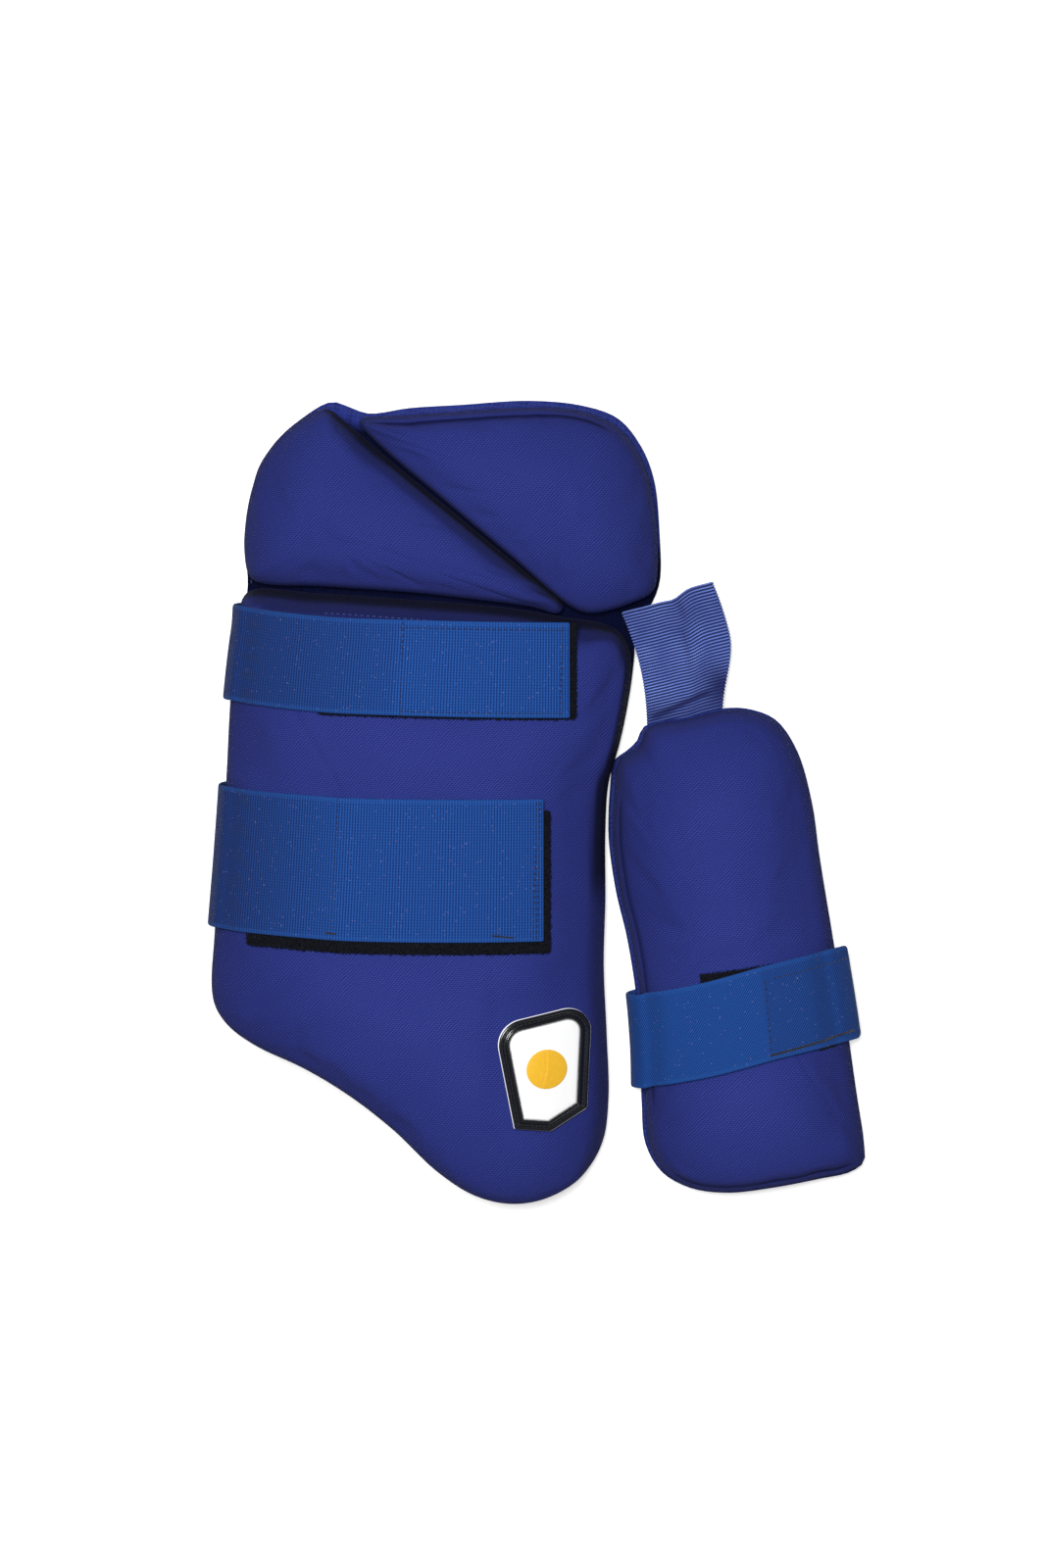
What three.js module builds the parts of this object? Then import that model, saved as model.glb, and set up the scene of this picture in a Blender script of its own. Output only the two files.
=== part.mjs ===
import * as THREE from 'three';

// A cricket thigh guard lying on its back with its front up.
// The outer guard is three foam pads on one backing that curves round the thigh.
// The inner guard is one foam pad on a backing of its own, beside it.
// A folded webbing loop lies between the two, and three elastic straps go round them.
// Millimetres: X across the guard, Y up the leg, Z out of the front.

// Outer guard
const GUARD_WIDTH = 237;
const GUARD_LENGTH = 423;
const GUARD_X = -54.3;
const GUARD_Y = 0;
const GUARD_HOLLOW_RADIUS = 190;
const GUARD_HOLLOW_HEIGHT = 39.5;
const GUARD_AXIS_X = -58.2;
const GUARD_AXIS_LEAN = 4.5;
const BACKING_THICKNESS = 2.3;
const PIECE_GAP = 0.7;
const PAD_GAP = 0.9;

const THIGH_PAD_WIDTH = 223;
const THIGH_PAD_LENGTH = 322;
const THIGH_PAD_X = -61.9;
const THIGH_PAD_Y = -51;
const THIGH_PAD_THICKNESS = 22;

const HIP_PAD_THICKNESS = 21;
const LEFT_HIP_WIDTH = 170;
const LEFT_HIP_LENGTH = 106.5;
const LEFT_HIP_X = -69.7;
const LEFT_HIP_Y = 153.7;
const RIGHT_HIP_WIDTH = 153;
const RIGHT_HIP_LENGTH = 107;
const RIGHT_HIP_X = -13.3;
const RIGHT_HIP_Y = 153.9;
const PAD_CROWN = 2.5;

// Inner guard
const INNER_WIDTH = 116;
const INNER_LENGTH = 255;
const INNER_X = 103.5;
const INNER_Y = -78.4;
const INNER_LEAN = -6.7;
const INNER_HOLLOW_RADIUS = 105;
const INNER_HOLLOW_HEIGHT = 21.5;
const INNER_PAD_THICKNESS = 18;
const INNER_FLANGE = 3.4;

// Elastic straps and their loop patches
const STRAP_THICKNESS = 1.8;
const STRAP_BULGE = 3.4;
const PATCH_THICKNESS = 1.4;
const UPPER_STRAP_WIDTH = 50;
const UPPER_STRAP_Y = 71.8;
const UPPER_STRAP_END_X = 19;
const UPPER_STRAP_RISE = 7.1;
const UPPER_PATCH_WIDTH = 53;
const UPPER_PATCH_LENGTH = 134;
const UPPER_PATCH_SHIFT = -1.8;
const LOWER_STRAP_WIDTH = 75;
const LOWER_STRAP_Y = -32.8;
const LOWER_STRAP_END_X = 5.5;
const LOWER_STRAP_RISE = 3.9;
const LOWER_PATCH_WIDTH = 75;
const LOWER_PATCH_LENGTH = 160;
const LOWER_PATCH_SHIFT = -6.5;
const PATCH_SHOWN = 3.2;
const INNER_STRAP_WIDTH = 50;
const INNER_STRAP_PLACE = -42.4;
const INNER_STRAP_RISE = 13.1;
const INNER_STRAP_BULGE = 4.6;
const INNER_PATCH_WIDTH = 46;
const INNER_PATCH_LENGTH = 54;
const INNER_PATCH_PLACE = 9.5;
const INNER_PATCH_SHIFT = 9.9;
const INNER_PATCH_RISE = 2.5;

// Raised badge on the thigh pad
const BADGE_WIDTH = 46.4;
const BADGE_LENGTH = 65.2;
const BADGE_X = 7;
const BADGE_Y = -138.3;
const BADGE_HEIGHT = 3.2;
const BADGE_BORDER = 5.6;
const BADGE_FACE_HEIGHT = 2.3;
const BALL_DIAMETER = 21;
const BALL_HEIGHT = 1.4;

// Webbing loop
const WEBBING_WIDTH = 50;
const WEBBING_LENGTH = 74;
const WEBBING_THICKNESS = 1.6;
const WEBBING_X = 75.6;
const WEBBING_Y = 69;
const WEBBING_TURN = 14.5;
const WEBBING_SKEW = 6.2;
const WEBBING_BOW = 4.5;
const WEBBING_FOLD_RADIUS = 1.25;
const WEBBING_TOP_HEIGHT = 16.2;
const WEBBING_TWIST = 4.2;

// Outlines: each row is a share of the piece's width, then of its length, from its centre.
const THIGH_OUTLINE = [
  [-0.414, 0.498], [-0.234, 0.5], [-0.01, 0.492], [0.213, 0.479], [0.362, 0.46], [0.43, 0.452],
  [0.472, 0.437], [0.495, 0.41], [0.5, 0.373], [0.488, 0.313], [0.467, 0.244], [0.446, 0.187],
  [0.439, 0.106], [0.439, -0.006], [0.435, -0.111], [0.442, -0.232], [0.446, -0.337],
  [0.432, -0.41], [0.388, -0.46], [0.309, -0.492], [0.225, -0.5], [0.139, -0.485],
  [0.05, -0.444], [-0.055, -0.374], [-0.16, -0.319], [-0.269, -0.277], [-0.386, -0.245],
  [-0.456, -0.216], [-0.491, -0.185], [-0.5, -0.152], [-0.493, -0.071], [-0.477, 0.058],
  [-0.463, 0.185], [-0.451, 0.329], [-0.43, 0.445],
];
const LEFT_HIP_OUTLINE = [
  [-0.482, -0.334], [-0.5, -0.212], [-0.497, -0.076], [-0.479, 0.08], [-0.442, 0.237],
  [-0.381, 0.363], [-0.301, 0.461], [-0.234, 0.5], [-0.185, 0.446], [-0.038, 0.251],
  [0.176, -0.027], [0.39, -0.31], [0.496, -0.452], [0.488, -0.498], [0.405, -0.466],
  [0.206, -0.422], [0.032, -0.393], [-0.261, -0.368], [-0.44, -0.362],
];
const RIGHT_HIP_OUTLINE = [
  [-0.5, 0.437], [-0.344, 0.466], [-0.17, 0.485], [-0.003, 0.5], [0.167, 0.5],
  [0.286, 0.466], [0.374, 0.393], [0.439, 0.262], [0.476, 0.107], [0.493, -0.063],
  [0.5, -0.257], [0.486, -0.398], [0.425, -0.447], [0.282, -0.5], [0.221, -0.476],
  [-0.003, -0.204], [-0.241, 0.083], [-0.412, 0.286], [-0.494, 0.385],
];
const GUARD_OUTLINE = [
  [-0.421, 0.268], [-0.425, 0.305], [-0.421, 0.348], [-0.397, 0.413], [-0.353, 0.448],
  [-0.289, 0.479], [-0.224, 0.498], [-0.18, 0.491], [-0.14, 0.484], [-0.048, 0.491],
  [0.064, 0.495], [0.215, 0.5], [0.329, 0.494], [0.408, 0.478], [0.456, 0.446], [0.487, 0.403],
  [0.5, 0.335], [0.5, 0.271], [0.478, 0.241], [0.45, 0.222], [0.445, 0.179], [0.434, 0.13],
  [0.412, 0.069], [0.388, 0.022], [0.379, -0.039], [0.379, -0.125], [0.375, -0.205],
  [0.382, -0.297], [0.387, -0.377], [0.373, -0.432], [0.333, -0.469], [0.259, -0.494],
  [0.18, -0.5], [0.099, -0.49], [0.018, -0.458], [-0.081, -0.404], [-0.18, -0.362],
  [-0.285, -0.33], [-0.395, -0.306], [-0.458, -0.284], [-0.491, -0.262], [-0.5, -0.236],
  [-0.493, -0.174], [-0.478, -0.076], [-0.465, 0.021], [-0.454, 0.13], [-0.434, 0.219],
];
const INNER_OUTLINE = [
  [-0.284, 0.481], [-0.363, 0.44], [-0.431, 0.402], [-0.472, 0.347], [-0.493, 0.25],
  [-0.489, 0.143], [-0.464, 0.047], [-0.452, -0.065], [-0.46, -0.183], [-0.483, -0.305],
  [-0.487, -0.391], [-0.434, -0.448], [-0.321, -0.484], [-0.154, -0.5], [0.072, -0.499],
  [0.276, -0.494], [0.417, -0.491], [0.484, -0.476], [0.498, -0.44], [0.494, -0.333],
  [0.484, -0.162], [0.47, -0.007], [0.452, 0.168], [0.445, 0.282], [0.402, 0.393],
  [0.32, 0.463], [0.215, 0.491], [0.109, 0.501], [-0.078, 0.492],
];
const BADGE_OUTLINE = [
  [-0.26, 0.399], [0.024, 0.451], [0.323, 0.5], [0.415, 0.48], [0.478, 0.415], [0.5, 0.317],
  [0.483, 0.073], [0.472, -0.171], [0.455, -0.311], [0.248, -0.415], [0.057, -0.498],
  [-0.145, -0.5], [-0.358, -0.485], [-0.419, -0.235], [-0.494, 0.073], [-0.5, 0.154],
  [-0.478, 0.252], [-0.398, 0.341],
];

// Edge rounding: distance in from the outline in mm, then the share of full thickness there.
const ROUND_EDGE = [[0, 0.42], [1.5, 0.64], [4, 0.83], [8, 0.94], [14, 1]];
const CRISP_EDGE = [[0, 0.6], [1.2, 0.82], [3, 0.93], [6, 0.98], [10, 1]];

// Strap bow: share of the way from the free end to the left edge, then share of the rise.
const UPPER_STRAP_BOW = [[0, 0], [0.24, 0.13], [0.5, 0.28], [0.68, 0.36], [0.83, 0.6], [1, 1]];
const LOWER_STRAP_BOW = [[0, 0], [0.3, 0.1], [0.6, 0.16], [0.75, 0.47], [0.89, 0.68], [1, 1]];
// Inner strap bow: share of the way from the left edge to the right, then share of the rise.
const INNER_STRAP_BOW = [[0, 0], [0.2, 0.21], [0.35, 0.35], [0.65, 0.77], [0.83, 0.92], [1, 1]];

// Strap turn round an edge: share of the bulge outside the edge, then share of the height.
const STRAP_TURN = [[0.3, 0.8], [0.85, 0.62], [1, 0.44], [0.86, 0.26], [0.3, 0.12]];

const guardFrame = { x: GUARD_AXIS_X, y: 0, lean: GUARD_AXIS_LEAN };
guardFrame.radius = GUARD_HOLLOW_RADIUS;
guardFrame.height = GUARD_HOLLOW_HEIGHT;
const innerFrame = { x: INNER_X, y: INNER_Y, lean: INNER_LEAN };
innerFrame.radius = INNER_HOLLOW_RADIUS;
innerFrame.height = INNER_HOLLOW_HEIGHT;

// Straight-line reading of a two-column table.
function readTable(table, at) {
  if (at <= table[0][0]) return table[0][1];
  for (let i = 1; i < table.length; i += 1) {
    const [x1, y1] = table[i];
    const [x0, y0] = table[i - 1];
    if (at <= x1) return y0 + ((y1 - y0) * (at - x0)) / (x1 - x0);
  }
  return table[table.length - 1][1];
}

// A place in a guard's own leaning axes, as a shared place, and back again.
function toShared(frame, across, along) {
  const lean = THREE.MathUtils.degToRad(frame.lean);
  const x = frame.x + across * Math.cos(lean) + along * Math.sin(lean);
  const y = frame.y - across * Math.sin(lean) + along * Math.cos(lean);
  return [x, y];
}

function toFrame(frame, x, y) {
  const lean = THREE.MathUtils.degToRad(frame.lean);
  const dx = x - frame.x;
  const dy = y - frame.y;
  return [dx * Math.cos(lean) - dy * Math.sin(lean), dx * Math.sin(lean) + dy * Math.cos(lean)];
}

// Height of the arched hollow under a guard, where the leg goes.
function hollowHeight(frame, x, y) {
  const [across] = toFrame(frame, x, y);
  const drop = frame.radius - Math.sqrt(frame.radius ** 2 - across ** 2);
  return frame.height - drop;
}

// Upright height of a layer of given thickness laid on the arched slope at a place.
function onSlope(frame, x, y, thickness) {
  const [across] = toFrame(frame, x, y);
  return (thickness * frame.radius) / Math.sqrt(frame.radius ** 2 - across ** 2);
}

// Smooth closed outline through a table, turned anticlockwise.
function outlinePoints(table, width, length, place, count) {
  const corners = table.map(([u, v]) => {
    const [x, y] = place(u * width, v * length);
    return new THREE.Vector3(x, y, 0);
  });
  const curve = new THREE.CatmullRomCurve3(corners, true, 'centripetal');
  curve.arcLengthDivisions = 600;
  const points = curve.getSpacedPoints(count).slice(0, count).map((p) => [p.x, p.y]);
  let area = 0;
  points.forEach(([x, y], i) => {
    const [nx, ny] = points[(i + 1) % count];
    area += x * ny - nx * y;
  });
  return area > 0 ? points : points.reverse();
}

// Shortest way from a place to an outline.
function edgeDistance(outline, x, y) {
  let best = Infinity;
  outline.forEach(([ax, ay], i) => {
    const [bx, by] = outline[(i + 1) % outline.length];
    const dx = bx - ax;
    const dy = by - ay;
    const t = ((x - ax) * dx + (y - ay) * dy) / (dx * dx + dy * dy);
    const s = Math.min(1, Math.max(0, t));
    best = Math.min(best, Math.hypot(x - ax - s * dx, y - ay - s * dy));
  });
  return best;
}

// The outline drawn in by a distance, each point along its own line to the centre.
function drawnIn(outline, centre, inset) {
  const count = outline.length;
  return outline.map(([x, y], i) => {
    const [px, py] = outline[(i + count - 1) % count];
    const [nx, ny] = outline[(i + 1) % count];
    const run = Math.hypot(nx - px, ny - py);
    const inward = [-(ny - py) / run, (nx - px) / run];
    const reach = Math.hypot(centre[0] - x, centre[1] - y);
    const way = [(centre[0] - x) / reach, (centre[1] - y) / reach];
    const facing = Math.max(0.45, inward[0] * way[0] + inward[1] * way[1]);
    const step = Math.min(inset / facing, reach * 0.6);
    return [x + way[0] * step, y + way[1] * step];
  });
}

function scaledTo(outline, centre, share) {
  return outline.map(([x, y]) => [
    centre[0] + (x - centre[0]) * share,
    centre[1] + (y - centre[1]) * share,
  ]);
}

function everySecond(ring) {
  return ring.filter((point, i) => i % 2 === 0);
}

function solidFrom(vertices, faces) {
  const geometry = new THREE.BufferGeometry();
  geometry.setAttribute('position', new THREE.Float32BufferAttribute(vertices.flat(), 3));
  geometry.setIndex(faces.flat());
  geometry.computeVertexNormals();
  return geometry;
}

// Joins an outer ring of vertex numbers to an inner one of as many or half as many.
function joinRings(outer, inner, faces) {
  const count = outer.length;
  if (inner.length === count) {
    outer.forEach((a, i) => {
      const b = outer[(i + 1) % count];
      const c = inner[(i + 1) % count];
      faces.push([a, b, c], [a, c, inner[i]]);
    });
    return;
  }
  inner.forEach((near, i) => {
    const a = outer[2 * i];
    const b = outer[2 * i + 1];
    const c = outer[(2 * i + 2) % count];
    const next = inner[(i + 1) % inner.length];
    faces.push([a, b, near], [b, next, near], [b, c, next]);
  });
}

// One face of a padded solid: rings of vertices from the outline in to a middle point.
function ringFace(rings, centre, height, vertices) {
  const numbered = rings.map((ring) => ring.map(([x, y]) => {
    vertices.push([x, y, height(x, y)]);
    return vertices.length - 1;
  }));
  vertices.push([centre[0], centre[1], height(centre[0], centre[1])]);
  const middle = vertices.length - 1;
  const faces = [];
  for (let i = 1; i < numbered.length; i += 1) joinRings(numbered[i - 1], numbered[i], faces);
  const last = numbered[numbered.length - 1];
  last.forEach((a, i) => faces.push([a, last[(i + 1) % last.length], middle]));
  return { edge: numbered[0], faces };
}

// A solid between a top height and a bottom height inside one outline.
function ringSolid({ outline, centre, insets, shares, top, bottom }) {
  const rings = [outline];
  insets.forEach((inset) => rings.push(drawnIn(outline, centre, inset)));
  const inmost = rings[rings.length - 1];
  const lowInsets = insets.filter((inset) => inset > 6);
  const lowRings = [outline].concat(lowInsets.map((inset) => drawnIn(outline, centre, inset)));
  shares.forEach((share) => {
    const ring = scaledTo(inmost, centre, share);
    const kept = share < 0.5 ? everySecond(ring) : ring;
    rings.push(kept);
    lowRings.push(kept);
  });
  const vertices = [];
  const upper = ringFace(rings, centre, top, vertices);
  const lower = ringFace(lowRings, centre, bottom, vertices);
  const faces = upper.faces.concat(lower.faces.map(([a, b, c]) => [a, c, b]));
  upper.edge.forEach((a, i) => {
    const j = (i + 1) % upper.edge.length;
    faces.push([lower.edge[i], lower.edge[j], upper.edge[j]]);
    faces.push([lower.edge[i], upper.edge[j], a]);
  });
  return solidFrom(vertices, faces);
}

// A solid border between an outer and an inner outline of as many points.
function borderSolid(outer, inner, top, bottom) {
  const vertices = [];
  const rings = [[outer, top], [inner, top], [inner, bottom], [outer, bottom]];
  rings.forEach(([ring, height]) => ring.forEach(([x, y]) => vertices.push([x, y, height(x, y)])));
  const count = outer.length;
  const faces = [];
  for (let band = 0; band < 4; band += 1) {
    for (let i = 0; i < count; i += 1) {
      const j = (i + 1) % count;
      const near = band * count;
      const far = ((band + 1) % 4) * count;
      faces.push([near + i, near + j, far + j], [near + i, far + j, far + i]);
    }
  }
  return solidFrom(vertices, faces);
}

// A band of even thickness about a grid of places: first along the path, then across it.
function bandSolid(grid, thickness) {
  const rows = grid.length;
  const columns = grid[0].length;
  const at = (i, j) => new THREE.Vector3(...grid[i][j]);
  const upper = [];
  const lower = [];
  for (let i = 0; i < rows; i += 1) {
    for (let j = 0; j < columns; j += 1) {
      const along = at(Math.min(rows - 1, i + 1), j).sub(at(Math.max(0, i - 1), j));
      const across = at(i, Math.min(columns - 1, j + 1)).sub(at(i, Math.max(0, j - 1)));
      const out = along.cross(across).normalize().multiplyScalar(thickness / 2);
      upper.push(at(i, j).add(out).toArray());
      lower.push(at(i, j).sub(out).toArray());
    }
  }
  const low = rows * columns;
  const faces = [];
  const quad = (a, b, c, d) => faces.push([a, b, c], [a, c, d]);
  for (let i = 0; i + 1 < rows; i += 1) {
    for (let j = 0; j + 1 < columns; j += 1) {
      const a = i * columns + j;
      quad(a, a + columns, a + columns + 1, a + 1);
      quad(low + a, low + a + 1, low + a + columns + 1, low + a + columns);
    }
    const left = i * columns;
    const right = left + columns - 1;
    quad(low + left, low + left + columns, left + columns, left);
    quad(low + right + columns, low + right, right, right + columns);
  }
  for (let j = 0; j + 1 < columns; j += 1) {
    const end = (rows - 1) * columns + j;
    quad(j, j + 1, low + j + 1, low + j);
    quad(end + 1, end, low + end, low + end + 1);
  }
  return solidFrom(upper.concat(lower), faces);
}

// Share of full thickness near an edge: crisp on the right of the guard, round on the left.
function edgeShare(distance, crispness) {
  const round = readTable(ROUND_EDGE, distance);
  return round + (readTable(CRISP_EDGE, distance) - round) * crispness;
}

// Front height of a pad of given outline, over its own arched hollow.
function padTop(pad, x, y) {
  const away = edgeDistance(pad.outline, x, y);
  const [across] = toFrame(pad.frame, x, y);
  const side = THREE.MathUtils.smoothstep(across / pad.halfWidth, 0.3, 0.9);
  const share = edgeShare(away, Math.max(pad.crispness, side * pad.rightCrispness));
  const crown = PAD_CROWN * (1 - Math.exp(-away / 30));
  return hollowHeight(pad.frame, x, y) + pad.lift + pad.thickness * share + crown;
}

const padLift = BACKING_THICKNESS + PAD_GAP;

function guardPad(table, width, length, x, y, thickness, crispness, count) {
  const place = (u, v) => [x + u, y + v];
  return {
    outline: outlinePoints(table, width, length, place, count),
    frame: guardFrame,
    halfWidth: GUARD_WIDTH / 2,
    centre: [x, y],
    lift: padLift,
    thickness,
    crispness,
    rightCrispness: 1,
  };
}

const thighPad = guardPad(THIGH_OUTLINE, THIGH_PAD_WIDTH, THIGH_PAD_LENGTH, THIGH_PAD_X,
  THIGH_PAD_Y, THIGH_PAD_THICKNESS, 0, 68);
const leftHipPad = guardPad(LEFT_HIP_OUTLINE, LEFT_HIP_WIDTH, LEFT_HIP_LENGTH, LEFT_HIP_X,
  LEFT_HIP_Y, HIP_PAD_THICKNESS, 0.3, 44);
leftHipPad.centre = [LEFT_HIP_X - LEFT_HIP_WIDTH * 0.2, LEFT_HIP_Y - LEFT_HIP_LENGTH * 0.1];
const rightHipPad = guardPad(RIGHT_HIP_OUTLINE, RIGHT_HIP_WIDTH, RIGHT_HIP_LENGTH, RIGHT_HIP_X,
  RIGHT_HIP_Y, HIP_PAD_THICKNESS, 0.6, 44);
rightHipPad.centre = [RIGHT_HIP_X + RIGHT_HIP_WIDTH * 0.15, RIGHT_HIP_Y + RIGHT_HIP_LENGTH * 0.1];

const innerEdge = outlinePoints(INNER_OUTLINE, INNER_WIDTH, INNER_LENGTH,
  (u, v) => toShared(innerFrame, u, v), 56);
const innerPad = {
  outline: drawnIn(innerEdge, [INNER_X, INNER_Y], INNER_FLANGE),
  frame: innerFrame,
  halfWidth: INNER_WIDTH / 2,
  centre: [INNER_X, INNER_Y],
  lift: padLift,
  thickness: INNER_PAD_THICKNESS,
  crispness: 0,
  rightCrispness: 0,
};

function padSolid(pad, shares) {
  return ringSolid({
    outline: pad.outline,
    centre: pad.centre,
    insets: [1.4, 4, 8, 14],
    shares,
    top: (x, y) => padTop(pad, x, y),
    bottom: (x, y) => hollowHeight(pad.frame, x, y) + pad.lift,
  });
}

function backingSolid(outline, frame, centre, insets, shares) {
  return ringSolid({
    outline,
    centre,
    insets,
    shares,
    top: (x, y) => hollowHeight(frame, x, y) + BACKING_THICKNESS,
    bottom: (x, y) => hollowHeight(frame, x, y),
  });
}

// Leftmost or rightmost place of an outline at one height, in a guard's own axes.
function sideOf(outline, frame, along, side) {
  let found = null;
  outline.forEach((point, i) => {
    const [a0, u0] = toFrame(frame, ...point);
    const [a1, u1] = toFrame(frame, ...outline[(i + 1) % outline.length]);
    if ((u0 - along) * (u1 - along) > 0 || u0 === u1) return;
    const across = a0 + ((a1 - a0) * (along - u0)) / (u1 - u0);
    if (found === null || (across - found) * side > 0) found = across;
  });
  return found;
}

// Height of a strap's middle over a pad: it keeps to the full thickness off the side edges.
function overPad(pad, x, y, sideAway) {
  const base = hollowHeight(pad.frame, x, y) + pad.lift;
  const crown = PAD_CROWN * (1 - Math.exp(-sideAway / 30));
  const over = onSlope(pad.frame, x, y, PATCH_THICKNESS + 2 * PIECE_GAP + STRAP_THICKNESS / 2);
  return base + pad.thickness * edgeShare(sideAway, 0) + crown + over;
}

// The turn of a strap round an edge, from over the pad down to the floor.
function turnPoints(edge, side, height, bulge) {
  const half = STRAP_THICKNESS / 2;
  const start = [[edge - side * 3.6, height - 1.4]];
  const turn = STRAP_TURN.map(([out, share]) => [
    edge + side * (out * bulge - half),
    half + (height - half) * share,
  ]);
  return start.concat(turn, [[edge - side * 3.5, half], [edge - side * 9, half]]);
}

// A strap round the outer guard: free end, front, left edge, then flat along the floor.
function guardStrap({ width, y, endX, rise, bow }) {
  const shares = [-0.5, -0.17, 0.17, 0.5];
  const axisX = (v) => toShared(guardFrame, 0, v)[0];
  const half = STRAP_THICKNESS / 2;
  const level = { x: 0, y: 0, lean: 0 };
  const right = sideOf(thighPad.outline, level, y + rise - width * 0.3, 1);
  const columns = shares.map((share) => {
    const place = y + rise + share * width;
    const left = sideOf(thighPad.outline, level, place, -1) - 0.6;
    const path = [];
    const near = left + 7;
    for (let k = 0; k <= 18; k += 1) {
      const x = endX + ((near - endX) * k) / 18;
      const across = (endX - x) / (endX - left);
      const py = y + rise * readTable(bow, across) + share * width;
      path.push([x, py, overPad(thighPad, x, py, x - left)]);
    }
    const top = path[path.length - 1][2];
    turnPoints(left, -1, top, STRAP_BULGE).forEach(([x, z]) => path.push([x, place, z]));
    const flat = [left + 30, axisX(place) - 20, axisX(place) + 30, right - 42];
    flat.forEach((x) => path.push([x, place, half]));
    path.push([right - 24, place, 1.9]);
    path.push([right - 12, place, 4.4]);
    const seam = right - 4;
    path.push([seam, place, hollowHeight(guardFrame, seam, place) - PIECE_GAP - half - 0.6]);
    return path;
  });
  const grid = columns[0].map((point, i) => columns.map((path) => path[i]));
  return bandSolid(grid, STRAP_THICKNESS);
}

// The strap round the inner guard: its free end hangs over the right edge, the rest crosses
// the front, turns round the left edge and runs back along the floor to its seam.
function innerStrap() {
  const shares = [-0.5, -0.17, 0.17, 0.5];
  const half = STRAP_THICKNESS / 2;
  const seam = sideOf(innerEdge, innerFrame, INNER_STRAP_PLACE, 1) - 4;
  const hollowUnder = (a) => hollowHeight(innerFrame, ...toShared(innerFrame, a, 0));
  const columns = shares.map((share) => {
    const offset = share * INNER_STRAP_WIDTH;
    const leftRise = INNER_STRAP_RISE * INNER_STRAP_BOW[0][1];
    const leftPlace = INNER_STRAP_PLACE + leftRise + offset;
    const rightPlace = INNER_STRAP_PLACE + INNER_STRAP_RISE + offset;
    const left = sideOf(innerEdge, innerFrame, leftPlace, -1) - 0.6;
    const right = sideOf(innerEdge, innerFrame, rightPlace, 1) + 0.6;
    const front = [];
    for (let k = 0; k <= 11; k += 1) {
      const across = right - 7 + ((left - right + 14) * k) / 11;
      const bow = readTable(INNER_STRAP_BOW, (across - left) / (right - left));
      const along = INNER_STRAP_PLACE + INNER_STRAP_RISE * bow + offset;
      const [x, y] = toShared(innerFrame, across, along);
      const sideAway = Math.max(0, Math.min(across - left, right - across) - INNER_FLANGE);
      front.push([across, along, overPad(innerPad, x, y, sideAway)]);
    }
    const rightTurn = turnPoints(right, 1, front[0][2], INNER_STRAP_BULGE).slice(0, 4);
    const leftTurn = turnPoints(left, -1, front[11][2], STRAP_BULGE);
    const path = rightTurn.reverse().map(([a, z]) => [a, rightPlace, z]).concat(front);
    leftTurn.forEach(([a, z]) => path.push([a, leftPlace, z]));
    const back = [[seam - 70, half], [seam - 45, half], [seam - 24, half + 0.6]];
    back.push([seam - 10, half + 2.6]);
    back.push([seam, hollowUnder(seam) - PIECE_GAP - half - 0.6]);
    back.forEach(([a, z]) => path.push([a, leftPlace, z]));
    return path.map(([a, u, z]) => [...toShared(innerFrame, a, u), z]);
  });
  const grid = columns[0].map((point, i) => columns.map((path) => path[i]));
  return bandSolid(grid, STRAP_THICKNESS);
}

// A loop patch lying on a pad under its strap.
function patchSolid({ pad, from, to, width, middle, place }) {
  const grid = [];
  const steps = Math.ceil(Math.abs(to - from) / 10);
  for (let i = 0; i <= steps; i += 1) {
    const across = from + ((to - from) * i) / steps;
    grid.push([-0.5, -0.17, 0.17, 0.5].map((share) => {
      const [x, y] = place(across, middle(across) + share * width);
      const over = onSlope(pad.frame, x, y, PIECE_GAP + PATCH_THICKNESS / 2);
      const crown = PAD_CROWN * (1 - Math.exp(-edgeDistance(pad.outline, x, y) / 30));
      const front = hollowHeight(pad.frame, x, y) + pad.lift + pad.thickness + crown;
      return [x, y, front + over];
    }));
  }
  return bandSolid(grid, PATCH_THICKNESS);
}

function guardPatch({ endX, length, width, y, rise, bow, shift, reach }) {
  const from = endX + PATCH_SHOWN - length;
  const middle = (x) => y + shift + rise * readTable(bow, Math.max(0, endX - x) / reach);
  const place = (x, v) => [x, v];
  return patchSolid({ pad: thighPad, from, to: endX + PATCH_SHOWN, width, middle, place });
}

function innerPatch() {
  const half = INNER_PATCH_LENGTH / 2;
  const middle = (across) => {
    const bow = readTable(INNER_STRAP_BOW, 0.5 + across / INNER_WIDTH);
    return INNER_STRAP_PLACE + INNER_PATCH_SHIFT + INNER_PATCH_RISE * bow;
  };
  return patchSolid({
    pad: innerPad,
    from: INNER_PATCH_PLACE - half,
    to: INNER_PATCH_PLACE + half,
    width: INNER_PATCH_WIDTH,
    middle,
    place: (across, along) => toShared(innerFrame, across, along),
  });
}

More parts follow.
